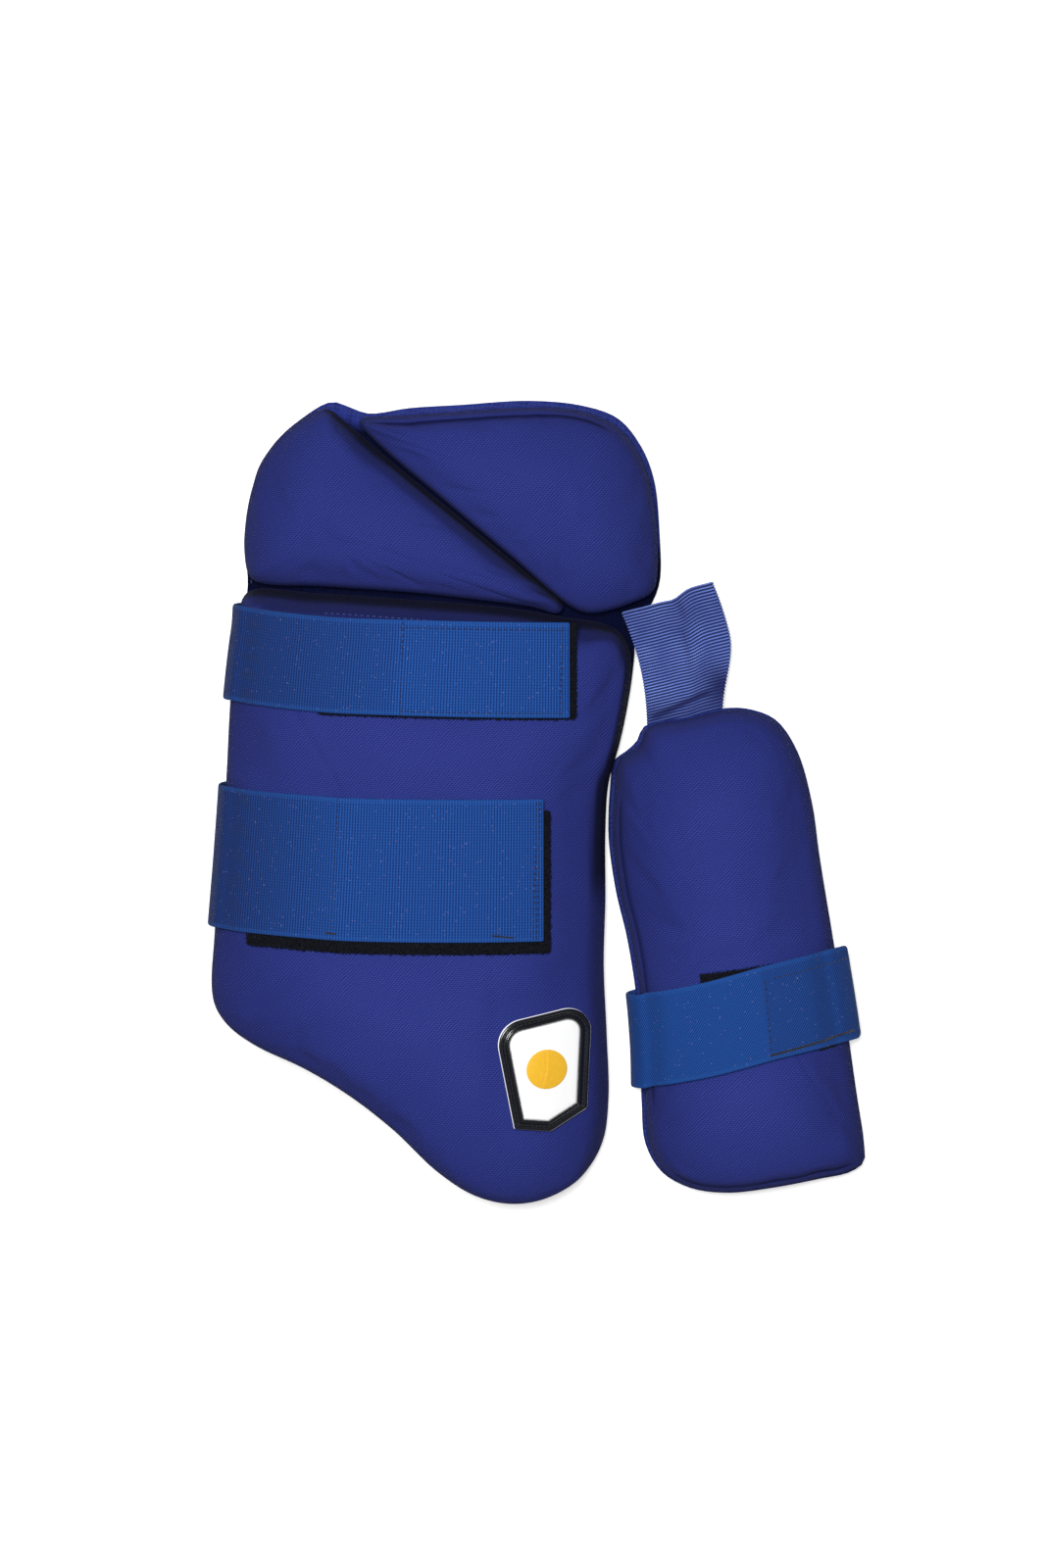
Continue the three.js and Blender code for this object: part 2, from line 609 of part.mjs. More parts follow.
// The badge: a raised border, a lower face inside it and a plain ball in relief on the face.
function badgePieces() {
  const centre = [BADGE_X, BADGE_Y];
  const place = (u, v) => [BADGE_X + u, BADGE_Y + v];
  const outer = outlinePoints(BADGE_OUTLINE, BADGE_WIDTH, BADGE_LENGTH, place, 40);
  const inner = drawnIn(outer, centre, BADGE_BORDER);
  const faceEdge = drawnIn(outer, centre, BADGE_BORDER + 0.3);
  const seat = (x, y) => padTop(thighPad, x, y) + PIECE_GAP;
  const ball = [];
  for (let i = 0; i < 24; i += 1) {
    const turn = (i / 24) * Math.PI * 2;
    const reach = BALL_DIAMETER / 2;
    ball.push([BADGE_X + reach * Math.cos(turn), BADGE_Y + reach * Math.sin(turn)]);
  }
  const faceTop = (x, y) => seat(x, y) + BADGE_FACE_HEIGHT;
  const ballTop = (x, y) => {
    const away = Math.hypot(x - BADGE_X, y - BADGE_Y) / (BALL_DIAMETER / 2);
    return faceTop(x, y) + 0.2 + BALL_HEIGHT * (1 - 0.55 * away ** 3);
  };
  return {
    border: borderSolid(outer, inner, (x, y) => seat(x, y) + BADGE_HEIGHT, seat),
    face: ringSolid({
      outline: faceEdge, centre, insets: [], shares: [0.6, 0.3], top: faceTop, bottom: seat,
    }),
    ball: ringSolid({
      outline: ball,
      centre,
      insets: [],
      shares: [0.8, 0.48],
      top: ballTop,
      bottom: (x, y) => faceTop(x, y) + 0.2,
    }),
  };
}

// The webbing: two layers joined by a fold at the top, tucked under the inner guard's top.
function webbingLoop() {
  const turn = THREE.MathUtils.degToRad(WEBBING_TURN);
  const half = WEBBING_THICKNESS / 2;
  const shares = [-0.5, -0.25, 0, 0.25, 0.5];
  const layer = 2 * WEBBING_FOLD_RADIUS;
  const steps = [];
  for (let k = 0; k <= 5; k += 1) steps.push([k / 5, -layer, 0]);
  const fold = WEBBING_FOLD_RADIUS;
  steps.push([1, -fold - fold * 0.7, fold * 0.7]);
  steps.push([1, -fold, fold]);
  steps.push([1, -fold + fold * 0.7, fold * 0.7]);
  for (let k = 5; k >= 0; k -= 1) steps.push([k / 5, 0, 0]);
  const grid = steps.map(([up, drop, past]) => shares.map((share) => {
    const bow = WEBBING_BOW * 4 * up * (1 - up);
    const u = share * WEBBING_WIDTH + WEBBING_SKEW * (up - 0.5) + bow;
    const wave = 1.2 * Math.sin(share * 9);
    const v = (up - 0.5) * WEBBING_LENGTH + (past + wave) * up;
    const x = WEBBING_X + u * Math.cos(turn) - v * Math.sin(turn);
    const y = WEBBING_Y + u * Math.sin(turn) + v * Math.cos(turn);
    const free = WEBBING_TOP_HEIGHT - WEBBING_TWIST * 2 * share * (2 * up - 1);
    const under = hollowHeight(innerFrame, x, y) - PIECE_GAP - half - 0.2;
    const tucked = THREE.MathUtils.smoothstep(up, 0.2, 0.55);
    return [x, y, Math.min(free, under + tucked * 40) + drop];
  }));
  return bandSolid(grid, WEBBING_THICKNESS);
}

function material(hex, roughness) {
  return new THREE.MeshStandardMaterial({ color: hex, roughness, metalness: 0 });
}

// Moves every piece so that the whole stands on the origin at the middle of its base.
function settle(group) {
  const box = new THREE.Box3();
  group.children.forEach((mesh) => {
    mesh.geometry.computeBoundingBox();
    box.union(mesh.geometry.boundingBox);
  });
  const x = (box.min.x + box.max.x) / 2;
  const y = (box.min.y + box.max.y) / 2;
  group.children.forEach((mesh) => mesh.geometry.translate(-x, -y, -box.min.z));
}

const group = new THREE.Group();
group.name = 'cricket_thigh_guard';

function add(name, geometry, hex, roughness) {
  const mesh = new THREE.Mesh(geometry, material(hex, roughness));
  mesh.name = name;
  group.add(mesh);
}

const PAD_BLUE = 0x303b7f;
const STRAP_BLUE = 0x244990;
const LOOP_BLACK = 0x14161c;
const badge = badgePieces();
const guardEdge = outlinePoints(GUARD_OUTLINE, GUARD_WIDTH, GUARD_LENGTH,
  (u, v) => [GUARD_X + u, GUARD_Y + v], 76);
const upperReach = UPPER_STRAP_END_X - (THIGH_PAD_X - THIGH_PAD_WIDTH / 2);
const lowerReach = LOWER_STRAP_END_X - (THIGH_PAD_X - THIGH_PAD_WIDTH / 2);

add('thigh_pad', padSolid(thighPad, [0.8, 0.6, 0.4, 0.2]), PAD_BLUE, 0.9);
add('hip_pad_left', padSolid(leftHipPad, [0.82, 0.64, 0.48, 0.32, 0.16]), PAD_BLUE, 0.9);
add('hip_pad_right', padSolid(rightHipPad, [0.8, 0.6, 0.4, 0.2]), PAD_BLUE, 0.9);
add('guard_backing', backingSolid(guardEdge, guardFrame, [GUARD_X, GUARD_Y + 10], [12],
  [0.83, 0.66, 0.49, 0.32, 0.16]), 0x1b2147, 0.95);
add('inner_pad', padSolid(innerPad, [0.75, 0.49, 0.25]), PAD_BLUE, 0.9);
add('inner_backing', backingSolid(innerEdge, innerFrame, [INNER_X, INNER_Y], [10],
  [0.75, 0.49, 0.25]), 0x1b2147, 0.95);
add('webbing_loop', webbingLoop(), 0x4357a0, 0.8);
add('upper_strap', guardStrap({
  width: UPPER_STRAP_WIDTH, y: UPPER_STRAP_Y, endX: UPPER_STRAP_END_X, rise: UPPER_STRAP_RISE,
  bow: UPPER_STRAP_BOW,
}), STRAP_BLUE, 0.85);
add('lower_strap', guardStrap({
  width: LOWER_STRAP_WIDTH, y: LOWER_STRAP_Y, endX: LOWER_STRAP_END_X, rise: LOWER_STRAP_RISE,
  bow: LOWER_STRAP_BOW,
}), STRAP_BLUE, 0.85);
add('inner_strap', innerStrap(), STRAP_BLUE, 0.85);
add('upper_loop_patch', guardPatch({
  endX: UPPER_STRAP_END_X, length: UPPER_PATCH_LENGTH, width: UPPER_PATCH_WIDTH,
  y: UPPER_STRAP_Y, rise: UPPER_STRAP_RISE, bow: UPPER_STRAP_BOW, shift: UPPER_PATCH_SHIFT,
  reach: upperReach,
}), LOOP_BLACK, 0.95);
add('lower_loop_patch', guardPatch({
  endX: LOWER_STRAP_END_X, length: LOWER_PATCH_LENGTH, width: LOWER_PATCH_WIDTH,
  y: LOWER_STRAP_Y, rise: LOWER_STRAP_RISE, bow: LOWER_STRAP_BOW, shift: LOWER_PATCH_SHIFT,
  reach: lowerReach,
}), LOOP_BLACK, 0.95);
add('inner_loop_patch', innerPatch(), LOOP_BLACK, 0.95);
add('badge_border', badge.border, 0x111318, 0.5);
add('badge_face', badge.face, 0xf7f7f5, 0.35);
add('badge_ball', badge.ball, 0xf2b92a, 0.4);

settle(group);

export default group;
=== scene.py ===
import math

import bpy
import numpy as np
from mathutils import Matrix, Vector
from mathutils.bvhtree import BVHTree


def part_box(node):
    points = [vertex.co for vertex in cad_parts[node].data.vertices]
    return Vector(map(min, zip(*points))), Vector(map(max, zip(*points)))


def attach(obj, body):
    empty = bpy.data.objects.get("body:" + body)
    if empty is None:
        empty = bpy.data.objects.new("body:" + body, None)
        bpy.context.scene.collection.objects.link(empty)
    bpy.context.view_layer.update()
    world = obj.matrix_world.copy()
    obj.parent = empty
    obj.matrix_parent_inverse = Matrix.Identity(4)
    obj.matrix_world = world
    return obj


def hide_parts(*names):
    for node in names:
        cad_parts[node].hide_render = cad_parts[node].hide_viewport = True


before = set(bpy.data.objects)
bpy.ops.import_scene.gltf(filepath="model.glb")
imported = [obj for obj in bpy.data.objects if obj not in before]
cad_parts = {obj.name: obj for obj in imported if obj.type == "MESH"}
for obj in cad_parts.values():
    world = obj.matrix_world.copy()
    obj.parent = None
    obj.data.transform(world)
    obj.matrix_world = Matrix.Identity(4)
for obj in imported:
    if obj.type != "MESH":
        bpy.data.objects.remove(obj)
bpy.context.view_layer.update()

# A cricket thigh guard lying on its back. Sizes are in millimetres until a mesh is made.
# X goes across the guard, Y up the leg and Z out of the padded front.
scene = bpy.context.scene

# Outer guard and its three foam pads
GUARD_SIZE = (237, 423)
GUARD_PLACE = (-54.3, 0)
OUTER = {"x": -58.2, "y": 0, "lean": 4.5, "radius": 190, "height": 39.5}
BACKING_THICKNESS = 2.3
PIECE_GAP = 0.7
PAD_LIFT = 3.2
PAD_CROWN = 2.5
CROWN_REACH = 30
# How much painted shade darkens the cover's sides, from 0 to 1, and how much more the walls of the grooves get
SIDE_SHADE = 0.12
GROOVE_SHADE = 0.36
THIGH_SIZE = (223, 322)
THIGH_PLACE = (-61.9, -51)
THIGH_THICKNESS = 22
HIP_THICKNESS = 21
LEFT_HIP_SIZE = (170, 106.5)
LEFT_HIP_PLACE = (-69.7, 153.7)
RIGHT_HIP_SIZE = (153, 107)
RIGHT_HIP_PLACE = (-13.3, 153.9)

# Inner guard
INNER_SIZE = (116, 255)
INNER = {"x": 103.5, "y": -78.4, "lean": -6.7, "radius": 105, "height": 21.5}
INNER_THICKNESS = 18
INNER_FLANGE = 3.4

# How the covers are filled and sewn
FILL_PRESSURE = 4
FILL_FRAMES = 20
FILL_LEAST = 0.3
FILL_MOST = 2.2
SEAM_PINCH = 1.4

# Elastic straps and the loop patches under them
STRAP_THICKNESS = 1.8
STRAP_BULGE = 3.4
# Distances in from a band's edge of the rows that round it
RIM_ROWS = [0, 0.15, 0.5, 1.0, 1.9]
PATCH_THICKNESS = 1.4
PATCH_SHOWN = 3.2
UPPER = {"width": 50, "y": 71.8, "end": 19, "rise": 7.1}
UPPER_PATCH = {"width": 50, "length": 134, "shift": -0.9}
LOWER = {"width": 75, "y": -32.8, "end": 5.5, "rise": 3.9}
LOWER_PATCH = {"width": 75, "length": 160, "shift": -6.5}
INNER_STRAP = {"width": 50, "place": -42.4, "rise": 13.1, "bulge": 6.4, "left_bulge": 4.6}
INNER_PATCH = {"width": 46, "length": 54, "place": 9.5, "shift": 9.9, "rise": 2.5}
INNER_TAB_LENGTH = 61.5

# Badge and webbing
BADGE_PLACE = (7, -138.3)
BADGE_HALF = (22, 31)
BADGE_BORDER = 5.6
BADGE_FACE_HEIGHT = 2.3
BALL_DIAMETER = 21
BALL_HEIGHT = 1.4
WEBBING_SIZE = (50, 74)
WEBBING_PLACE = (75.6, 69)
WEBBING_TURN = 14.5
WEBBING_THICKNESS = 1.6
WEBBING_SKEW = 6.2
WEBBING_BOW = 4.5
WEBBING_FOLD = 1.25
WEBBING_TOP = 16.2
WEBBING_TWIST = 4.2

# Spacing of ribs and yarns, as drawn
TWILL_RIB = 1.3
ELASTIC_RIB = 1.5
WEBBING_RIB = 1.6
WEBBING_YARN = 1.2

# Studio
SOFTBOX = {"place": (-0.06, 0.42, 2.38), "size": 0.8, "power": 64}
ROOM_LIGHT = 0.16
FLOOR_HALF = 4.0
FLOOR_GLOW = 0.5

# Outlines: each row is a share of the piece's width, then of its length, from its centre.
THIGH_OUTLINE = [
    [-0.414, 0.498], [-0.234, 0.5], [-0.01, 0.492], [0.213, 0.479], [0.362, 0.46], [0.43, 0.452],
    [0.472, 0.437], [0.495, 0.41], [0.5, 0.373], [0.488, 0.313], [0.467, 0.244], [0.446, 0.187],
    [0.439, 0.106], [0.439, -0.006], [0.435, -0.111], [0.442, -0.232], [0.446, -0.337],
    [0.432, -0.41], [0.388, -0.46], [0.309, -0.492], [0.225, -0.5], [0.139, -0.485],
    [0.05, -0.444], [-0.055, -0.374], [-0.16, -0.319], [-0.269, -0.277], [-0.386, -0.245],
    [-0.456, -0.216], [-0.491, -0.185], [-0.5, -0.152], [-0.493, -0.071], [-0.477, 0.058],
    [-0.463, 0.185], [-0.451, 0.329], [-0.43, 0.445],
]
LEFT_HIP_OUTLINE = [
    [-0.482, -0.334], [-0.5, -0.212], [-0.497, -0.076], [-0.479, 0.08], [-0.442, 0.237],
    [-0.381, 0.363], [-0.301, 0.461], [-0.234, 0.5], [-0.185, 0.446], [-0.038, 0.251],
    [0.176, -0.027], [0.39, -0.31], [0.496, -0.452], [0.488, -0.498], [0.405, -0.466],
    [0.206, -0.422], [0.032, -0.393], [-0.261, -0.368], [-0.44, -0.362],
]
RIGHT_HIP_OUTLINE = [
    [-0.514, 0.441], [-0.344, 0.466], [-0.17, 0.485], [-0.003, 0.5], [0.167, 0.5],
    [0.286, 0.466], [0.374, 0.393], [0.439, 0.262], [0.476, 0.107], [0.493, -0.063],
    [0.5, -0.257], [0.486, -0.398], [0.425, -0.447], [0.282, -0.5], [0.221, -0.476],
    [-0.003, -0.204], [-0.241, 0.083], [-0.412, 0.286], [-0.49, 0.392],
]
GUARD_OUTLINE = [
    [-0.421, 0.268], [-0.425, 0.305], [-0.421, 0.348], [-0.397, 0.413], [-0.353, 0.448],
    [-0.289, 0.479], [-0.224, 0.498], [-0.18, 0.491], [-0.14, 0.484], [-0.048, 0.491],
    [0.064, 0.495], [0.215, 0.5], [0.329, 0.494], [0.408, 0.478], [0.456, 0.446], [0.487, 0.403],
    [0.5, 0.335], [0.5, 0.271], [0.478, 0.241], [0.45, 0.222], [0.445, 0.179], [0.434, 0.13],
    [0.412, 0.069], [0.388, 0.022], [0.379, -0.039], [0.379, -0.125], [0.375, -0.205],
    [0.382, -0.297], [0.387, -0.377], [0.373, -0.432], [0.333, -0.469], [0.259, -0.494],
    [0.18, -0.5], [0.099, -0.49], [0.018, -0.458], [-0.081, -0.404], [-0.18, -0.362],
    [-0.285, -0.33], [-0.395, -0.306], [-0.458, -0.284], [-0.491, -0.262], [-0.5, -0.236],
    [-0.493, -0.174], [-0.478, -0.076], [-0.465, 0.021], [-0.454, 0.13], [-0.434, 0.219],
]
INNER_OUTLINE = [
    [-0.284, 0.481], [-0.325, 0.452], [-0.387, 0.431], [-0.442, 0.416], [-0.455, 0.404],
    [-0.463, 0.383], [-0.491, 0.316], [-0.508, 0.25],
    [-0.503, 0.143], [-0.477, 0.047], [-0.465, -0.065], [-0.473, -0.183], [-0.497, -0.305],
    [-0.502, -0.393], [-0.442, -0.453], [-0.321, -0.489], [-0.154, -0.505], [0.072, -0.504],
    [0.276, -0.499], [0.417, -0.496], [0.486, -0.481], [0.497, -0.443], [0.489, -0.333],
    [0.478, -0.162], [0.462, -0.007], [0.443, 0.168], [0.436, 0.282], [0.396, 0.393],
    [0.317, 0.463], [0.215, 0.491], [0.109, 0.501], [-0.078, 0.492],
]
# Corners of the badge, in photo pixels, with the radius of each in millimetres
BADGE_CORNERS = [(528, 1144, 0.8), (564, 1148.5, 2.0), (600, 1127, 1.2), (605, 1018, 12), (508, 1038, 13.5)]

# Distance in from a pad's outline, then the share of the full thickness there.
ROUND_EDGE = [[0, 0.42], [1.5, 0.64], [4, 0.83], [8, 0.94], [14, 1]]
CRISP_EDGE = [[0, 0.6], [1.2, 0.82], [3, 0.93], [6, 0.98], [10, 1]]
# Share of a sloped wall's width, then the share of the full thickness there.
SLOPED_WALL = [[0, 0.22], [0.5, 0.6], [0.9, 0.88], [1.2, 0.965], [1.8, 1]]

# Share of the way along a strap's front, then the share of its rise.
UPPER_BOW = [[0, 0], [0.24, 0.13], [0.5, 0.28], [0.68, 0.36], [0.83, 0.6], [1, 1]]
LOWER_BOW = [[0, 0], [0.3, 0.1], [0.6, 0.16], [0.75, 0.47], [0.89, 0.68], [1, 1]]
INNER_BOW = [[0, 0], [0.2, 0.21], [0.35, 0.35], [0.65, 0.77], [0.83, 0.92], [1, 1]]
# Share of the bulge outside an edge, then the share of the height there.
STRAP_TURN = [[0.3, 0.8], [0.85, 0.62], [1, 0.44], [0.86, 0.26], [0.3, 0.12]]

low_ball, high_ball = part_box("badge_ball")
SHIFT = np.array([
    (low_ball.x + high_ball.x) * 500 - BADGE_PLACE[0],
    (low_ball.y + high_ball.y) * 500 - BADGE_PLACE[1],
    0.0,
])
# The photo's size and the place in it that the shared frame's middle has, in pixels
PHOTO_SIZE = (1066, 1600)
PHOTO_MIDDLE = (546.5, 818)
PIXEL = 0.52


def from_photo(across, down):
    """A place in the photo, in pixels, as millimetres across and up the guard."""
    return ((across - PHOTO_MIDDLE[0]) * PIXEL, (PHOTO_MIDDLE[1] - down) * PIXEL)


# Shapes

def softened(table):
    """A two-column table as fine readings with its kinks rounded off."""
    xs, ys = np.array(table, float).T
    fine = np.linspace(xs[0], xs[-1], 161)
    read = np.pad(np.interp(fine, xs, ys), 12, mode="reflect", reflect_type="odd")
    weights = np.hanning(25)
    return fine, np.convolve(read, weights / weights.sum(), "valid")


ROUND_EDGE, CRISP_EDGE, SLOPED_WALL = softened(ROUND_EDGE), softened(CRISP_EDGE), softened(SLOPED_WALL)
UPPER["bow"], LOWER["bow"], INNER_STRAP["bow"] = softened(UPPER_BOW), softened(LOWER_BOW), softened(INNER_BOW)


def read(table, at):
    return np.interp(at, table[0], table[1])


def ease(value, start, end):
    share = np.clip((value - start) / (end - start), 0, 1)
    return share * share * (3 - 2 * share)


def run_through(corners, closed, parts):
    """Points on a smooth curve through corners, so many in each stretch."""
    here = np.asarray(corners, float)
    if closed:
        back, ahead, beyond = np.roll(here, 1, 0), np.roll(here, -1, 0), np.roll(here, -2, 0)
    else:
        longer = np.vstack([2 * here[:1] - here[1:2], here, 2 * here[-1:] - here[-2:-1]])
        back, here, ahead, beyond = longer[:-3], longer[1:-2], longer[2:-1], longer[3:]
    gaps = []
    for a, b in ((back, here), (here, ahead), (ahead, beyond)):
        gaps.append(np.sqrt(np.linalg.norm(b - a, axis=1))[:, None] + 1e-9)
    d0, d1, d2 = gaps
    leave = ((here - back) / d0 - (ahead - back) / (d0 + d1) + (ahead - here) / d1) * d1
    reach = ((ahead - here) / d1 - (beyond - here) / (d1 + d2) + (beyond - ahead) / d2) * d1
    points = []
    for k, count in enumerate(parts):
        t = np.arange(count)[:, None] / count
        bend = 3 * (ahead[k] - here[k]) - 2 * leave[k] - reach[k]
        twist = 2 * (here[k] - ahead[k]) + leave[k] + reach[k]
        points.append(here[k] + leave[k] * t + bend * t ** 2 + twist * t ** 3)
    if not closed:
        points.append(ahead[-1:])
    return np.vstack(points)


def even_outline(corners, count):
    """So many evenly spaced points round a smooth closed outline, anticlockwise."""
    fine = run_through(corners, True, [40] * len(corners))
    ring = np.vstack([fine, fine[:1]])
    along = np.concatenate([[0], np.cumsum(np.linalg.norm(np.diff(ring, axis=0), axis=1))])
    at = np.arange(count) / count * along[-1]
    points = np.column_stack([np.interp(at, along, ring[:, 0]), np.interp(at, along, ring[:, 1])])
    ahead = np.roll(points, -1, 0)
    area = np.sum(points[:, 0] * ahead[:, 1] - ahead[:, 0] * points[:, 1])
    return points if area > 0 else points[::-1].copy()


def piece_outline(table, size, place, count):
    return even_outline(np.array(table) * size + place, count)


def to_shared(guard, across, along):
    lean = math.radians(guard["lean"])
    x = guard["x"] + across * math.cos(lean) + along * math.sin(lean)
    y = guard["y"] - across * math.sin(lean) + along * math.cos(lean)
    return x, y


def turned(guard, x, y):
    lean = math.radians(guard["lean"])
    dx, dy = x - guard["x"], y - guard["y"]
    return dx * math.cos(lean) - dy * math.sin(lean), dx * math.sin(lean) + dy * math.cos(lean)


def hollow(guard, x, y):
    """Height of the arched hollow under a guard, where the leg goes."""
    across = turned(guard, x, y)[0]
    return guard["height"] - guard["radius"] + np.sqrt(guard["radius"] ** 2 - across ** 2)


def on_slope(guard, x, y, thickness):
    across = turned(guard, x, y)[0]
    return thickness * guard["radius"] / np.sqrt(guard["radius"] ** 2 - across ** 2)


def edge_distance(outline, x, y):
    """Shortest way from each place to an outline."""
    places = np.column_stack([np.ravel(x), np.ravel(y)])[:, None]
    run = np.roll(outline, -1, 0) - outline
    share = np.sum((places - outline) * run, axis=2) / np.sum(run * run, axis=1)
    near = outline + np.clip(share, 0, 1)[..., None] * run
    found = np.sqrt(np.min(np.sum((places - near) ** 2, axis=2), axis=1))
    return found.reshape(np.shape(x)) if np.shape(x) else float(found[0])


def outward(outline):
    run = np.roll(outline, -1, 0) - np.roll(outline, 1, 0)
    normal = np.column_stack([run[:, 1], -run[:, 0]])
    return normal / np.linalg.norm(normal, axis=1)[:, None]


def rounded_corners(corners, inset, flat=8, bend=12):
    """A closed outline of straight sides with rounded corners, moved in by an inset."""
    points = np.array([c[:2] for c in corners], float)
    ahead, back = np.roll(points, -1, 0), np.roll(points, 1, 0)
    along = (ahead - points) / np.linalg.norm(ahead - points, axis=1)[:, None]
    inward = np.column_stack([-along[:, 1], along[:, 0]])
    outline = []
    for i in range(len(points)):
        before, after = along[i - 1], along[i]
        n0, n1 = inward[i - 1], inward[i]
        reach = max(corners[i][2] - inset, 0.3 if inset < 3 else 0.15)
        # The middle of a corner's arc is as far from both of its sides.
        middle = points[i] + (n0 + n1) / (1 + n0 @ n1) * (inset + reach)
        start = math.atan2(-n0[1], -n0[0])
        sweep = math.atan2(before[0] * after[1] - before[1] * after[0], before @ after)
        for k in range(bend + 1):
            turn = start + sweep * k / bend
            outline.append(middle + reach * np.array([math.cos(turn), math.sin(turn)]))
    full, size = [], bend + 1
    for i in range(len(points)):
        full += outline[i * size:(i + 1) * size]
        one, two = outline[(i + 1) * size - 1], outline[((i + 1) * size) % len(outline)]
        full += [one + (two - one) * k / flat for k in range(1, flat)]
    return np.array(full)


def drawn_in(outline, centre, inset):
    """The outline drawn in, each point along its own line to the centre."""
    way = np.asarray(centre) - outline
    reach = np.linalg.norm(way, axis=1)[:, None]
    facing = np.maximum(0.45, -np.sum(outward(outline)[:, None] * (way / reach)[:, None], axis=2))
    return outline + way / reach * np.minimum(inset / facing, reach * 0.6)


def side_of(outline, along, side, guard=None):
    """Leftmost or rightmost place of an outline at one height, in a guard's own axes."""
    a, u = turned(guard, outline[:, 0], outline[:, 1]) if guard else outline.T
    b, v = np.roll(a, -1), np.roll(u, -1)
    crossing = (u - along) * (v - along) < 0
    found = a[crossing] + (b - a)[crossing] * (along - u[crossing]) / (v - u)[crossing]
    return found.max() if side > 0 else found.min()


def blurred(values, width):
    """Values round a closed outline, averaged with their neighbours."""
    weights = np.hanning(2 * width + 3)
    longer = np.concatenate([values[-width - 1:], values, values[:width + 1]])
    return np.convolve(longer, weights / weights.sum(), "valid")


def skin(rings, low_pole=None, top_pole=None, closed=False):
    """Faces over rings of points, each of as many, half or twice as many as the one before."""
    points = np.vstack(rings + [[p] for p in (low_pole, top_pole) if p is not None])
    starts = np.concatenate([[0], np.cumsum([len(r) for r in rings])])
    numbered = [list(range(a, a + len(r))) for a, r in zip(starts, rings)]
    faces = []
    for one, two in zip(numbered, numbered[1:] + ([numbered[0]] if closed else [])):
        if len(one) == len(two):
            faces += [(a, b, d, c) for a, b, c, d in zip(one, one[1:] + one[:1], two, two[1:] + two[:1])]
        elif len(one) > len(two):
            for i, near in enumerate(two):
                a, b, c = one[2 * i], one[2 * i + 1], one[(2 * i + 2) % len(one)]
                faces += [(a, b, near), (b, two[(i + 1) % len(two)], near), (b, c, two[(i + 1) % len(two)])]
        else:
            for i, near in enumerate(one):
                a, b, c = two[2 * i], two[2 * i + 1], two[(2 * i + 2) % len(two)]
                faces += [(near, b, a), (near, one[(i + 1) % len(one)], b), (one[(i + 1) % len(one)], c, b)]
    pole = starts[-1]
    if low_pole is not None:
        first = numbered[0]
        faces += [(pole, b, a) for a, b in zip(first, first[1:] + first[:1])]
        pole += 1
    if top_pole is not None:
        last = numbered[-1]
        faces += [(a, b, pole) for a, b in zip(last, last[1:] + last[:1])]
    return points, faces


def made(name, points, faces):
    """An object with its mesh in place, in metres."""
    mesh = bpy.data.meshes.new(name)
    mesh.from_pydata((np.asarray(points) + SHIFT) * 0.001, [], faces)
    mesh.polygons.foreach_set("use_smooth", [True] * len(mesh.polygons))
    mesh.update()
    piece = bpy.data.objects.new(name, mesh)
    scene.collection.objects.link(piece)
    return piece


def dressed(piece, finish, slot, *nodes):
    """Gives a piece its finish and its place on the part."""
    piece.data.materials.clear()
    piece.data.materials.append(finish)
    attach(piece, "root")
    if nodes:
        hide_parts(*nodes)
    return piece


def noted(piece, name, values):
    """A number on each point, for the finish to read."""
    piece.data.attributes.new(name, "FLOAT", "POINT").data.foreach_set("value", np.asarray(values, float))


def noted_on(piece, name):
    """The number that a piece notes on each of its points."""
    found = np.empty(len(piece.data.vertices))
    piece.data.attributes[name].data.foreach_get("value", found)
    return found


def across_and_up(found):
    """Places in metres as millimetres across and up the guard."""
    return found[:, :2] * 1000 - SHIFT[:2]


def mapped(piece, flat):
    """Lays the cloth's flat map, in metres, on a piece's faces."""
    corners = np.empty(len(piece.data.loops), int)
    piece.data.loops.foreach_get("vertex_index", corners)
    piece.data.uv_layers.new(name="weave").data.foreach_set("uv", flat[corners].ravel())


def surface_of(piece):
    """A piece's finished surface, for lines to be shot at."""
    shape = piece.evaluated_get(bpy.context.evaluated_depsgraph_get()).to_mesh()
    return BVHTree.FromPolygons([v.co.copy() for v in shape.vertices], [list(p.vertices) for p in shape.polygons])


def subdivided(piece, levels=1):
    finer = piece.modifiers.new("finer", "SUBSURF")
    finer.levels = finer.render_levels = levels
    return piece


# Pads

def foam_pad(outline, centre, thickness, crispness, guard=OUTER, half=GUARD_SIZE[0] / 2, right=1):
    """A pad's facts, with a number for each point of its outline where they differ round it."""
    count = len(outline)
    return {
        "outline": outline, "guard": guard, "half": half, "centre": np.array(centre, float),
        "thickness": thickness, "crispness": crispness, "right": right, "wall": np.zeros(count),
        "shade": np.full(count, SIDE_SHADE), "dark": np.ones(count), "seam": np.zeros(count),
    }


def crown(away):
    """How much higher a pad's front is than near its edge."""
    return PAD_CROWN * (1 - np.exp(-away / CROWN_REACH))


def edge_share(pad, away, x, y):
    across = turned(pad["guard"], x, y)[0] / pad["half"]
    crisp = np.maximum(pad["crispness"], pad["right"] * ease(across, 0.3, 0.9))
    rounded = read(ROUND_EDGE, away)
    return rounded + (read(CRISP_EDGE, away) - rounded) * crisp


def pad_top(pad, x, y):
    """Front height of a pad over its own hollow, as the solid has it."""
    away = edge_distance(pad["outline"], x, y)
    return hollow(pad["guard"], x, y) + PAD_LIFT + pad["thickness"] * edge_share(pad, away, x, y) + crown(away)


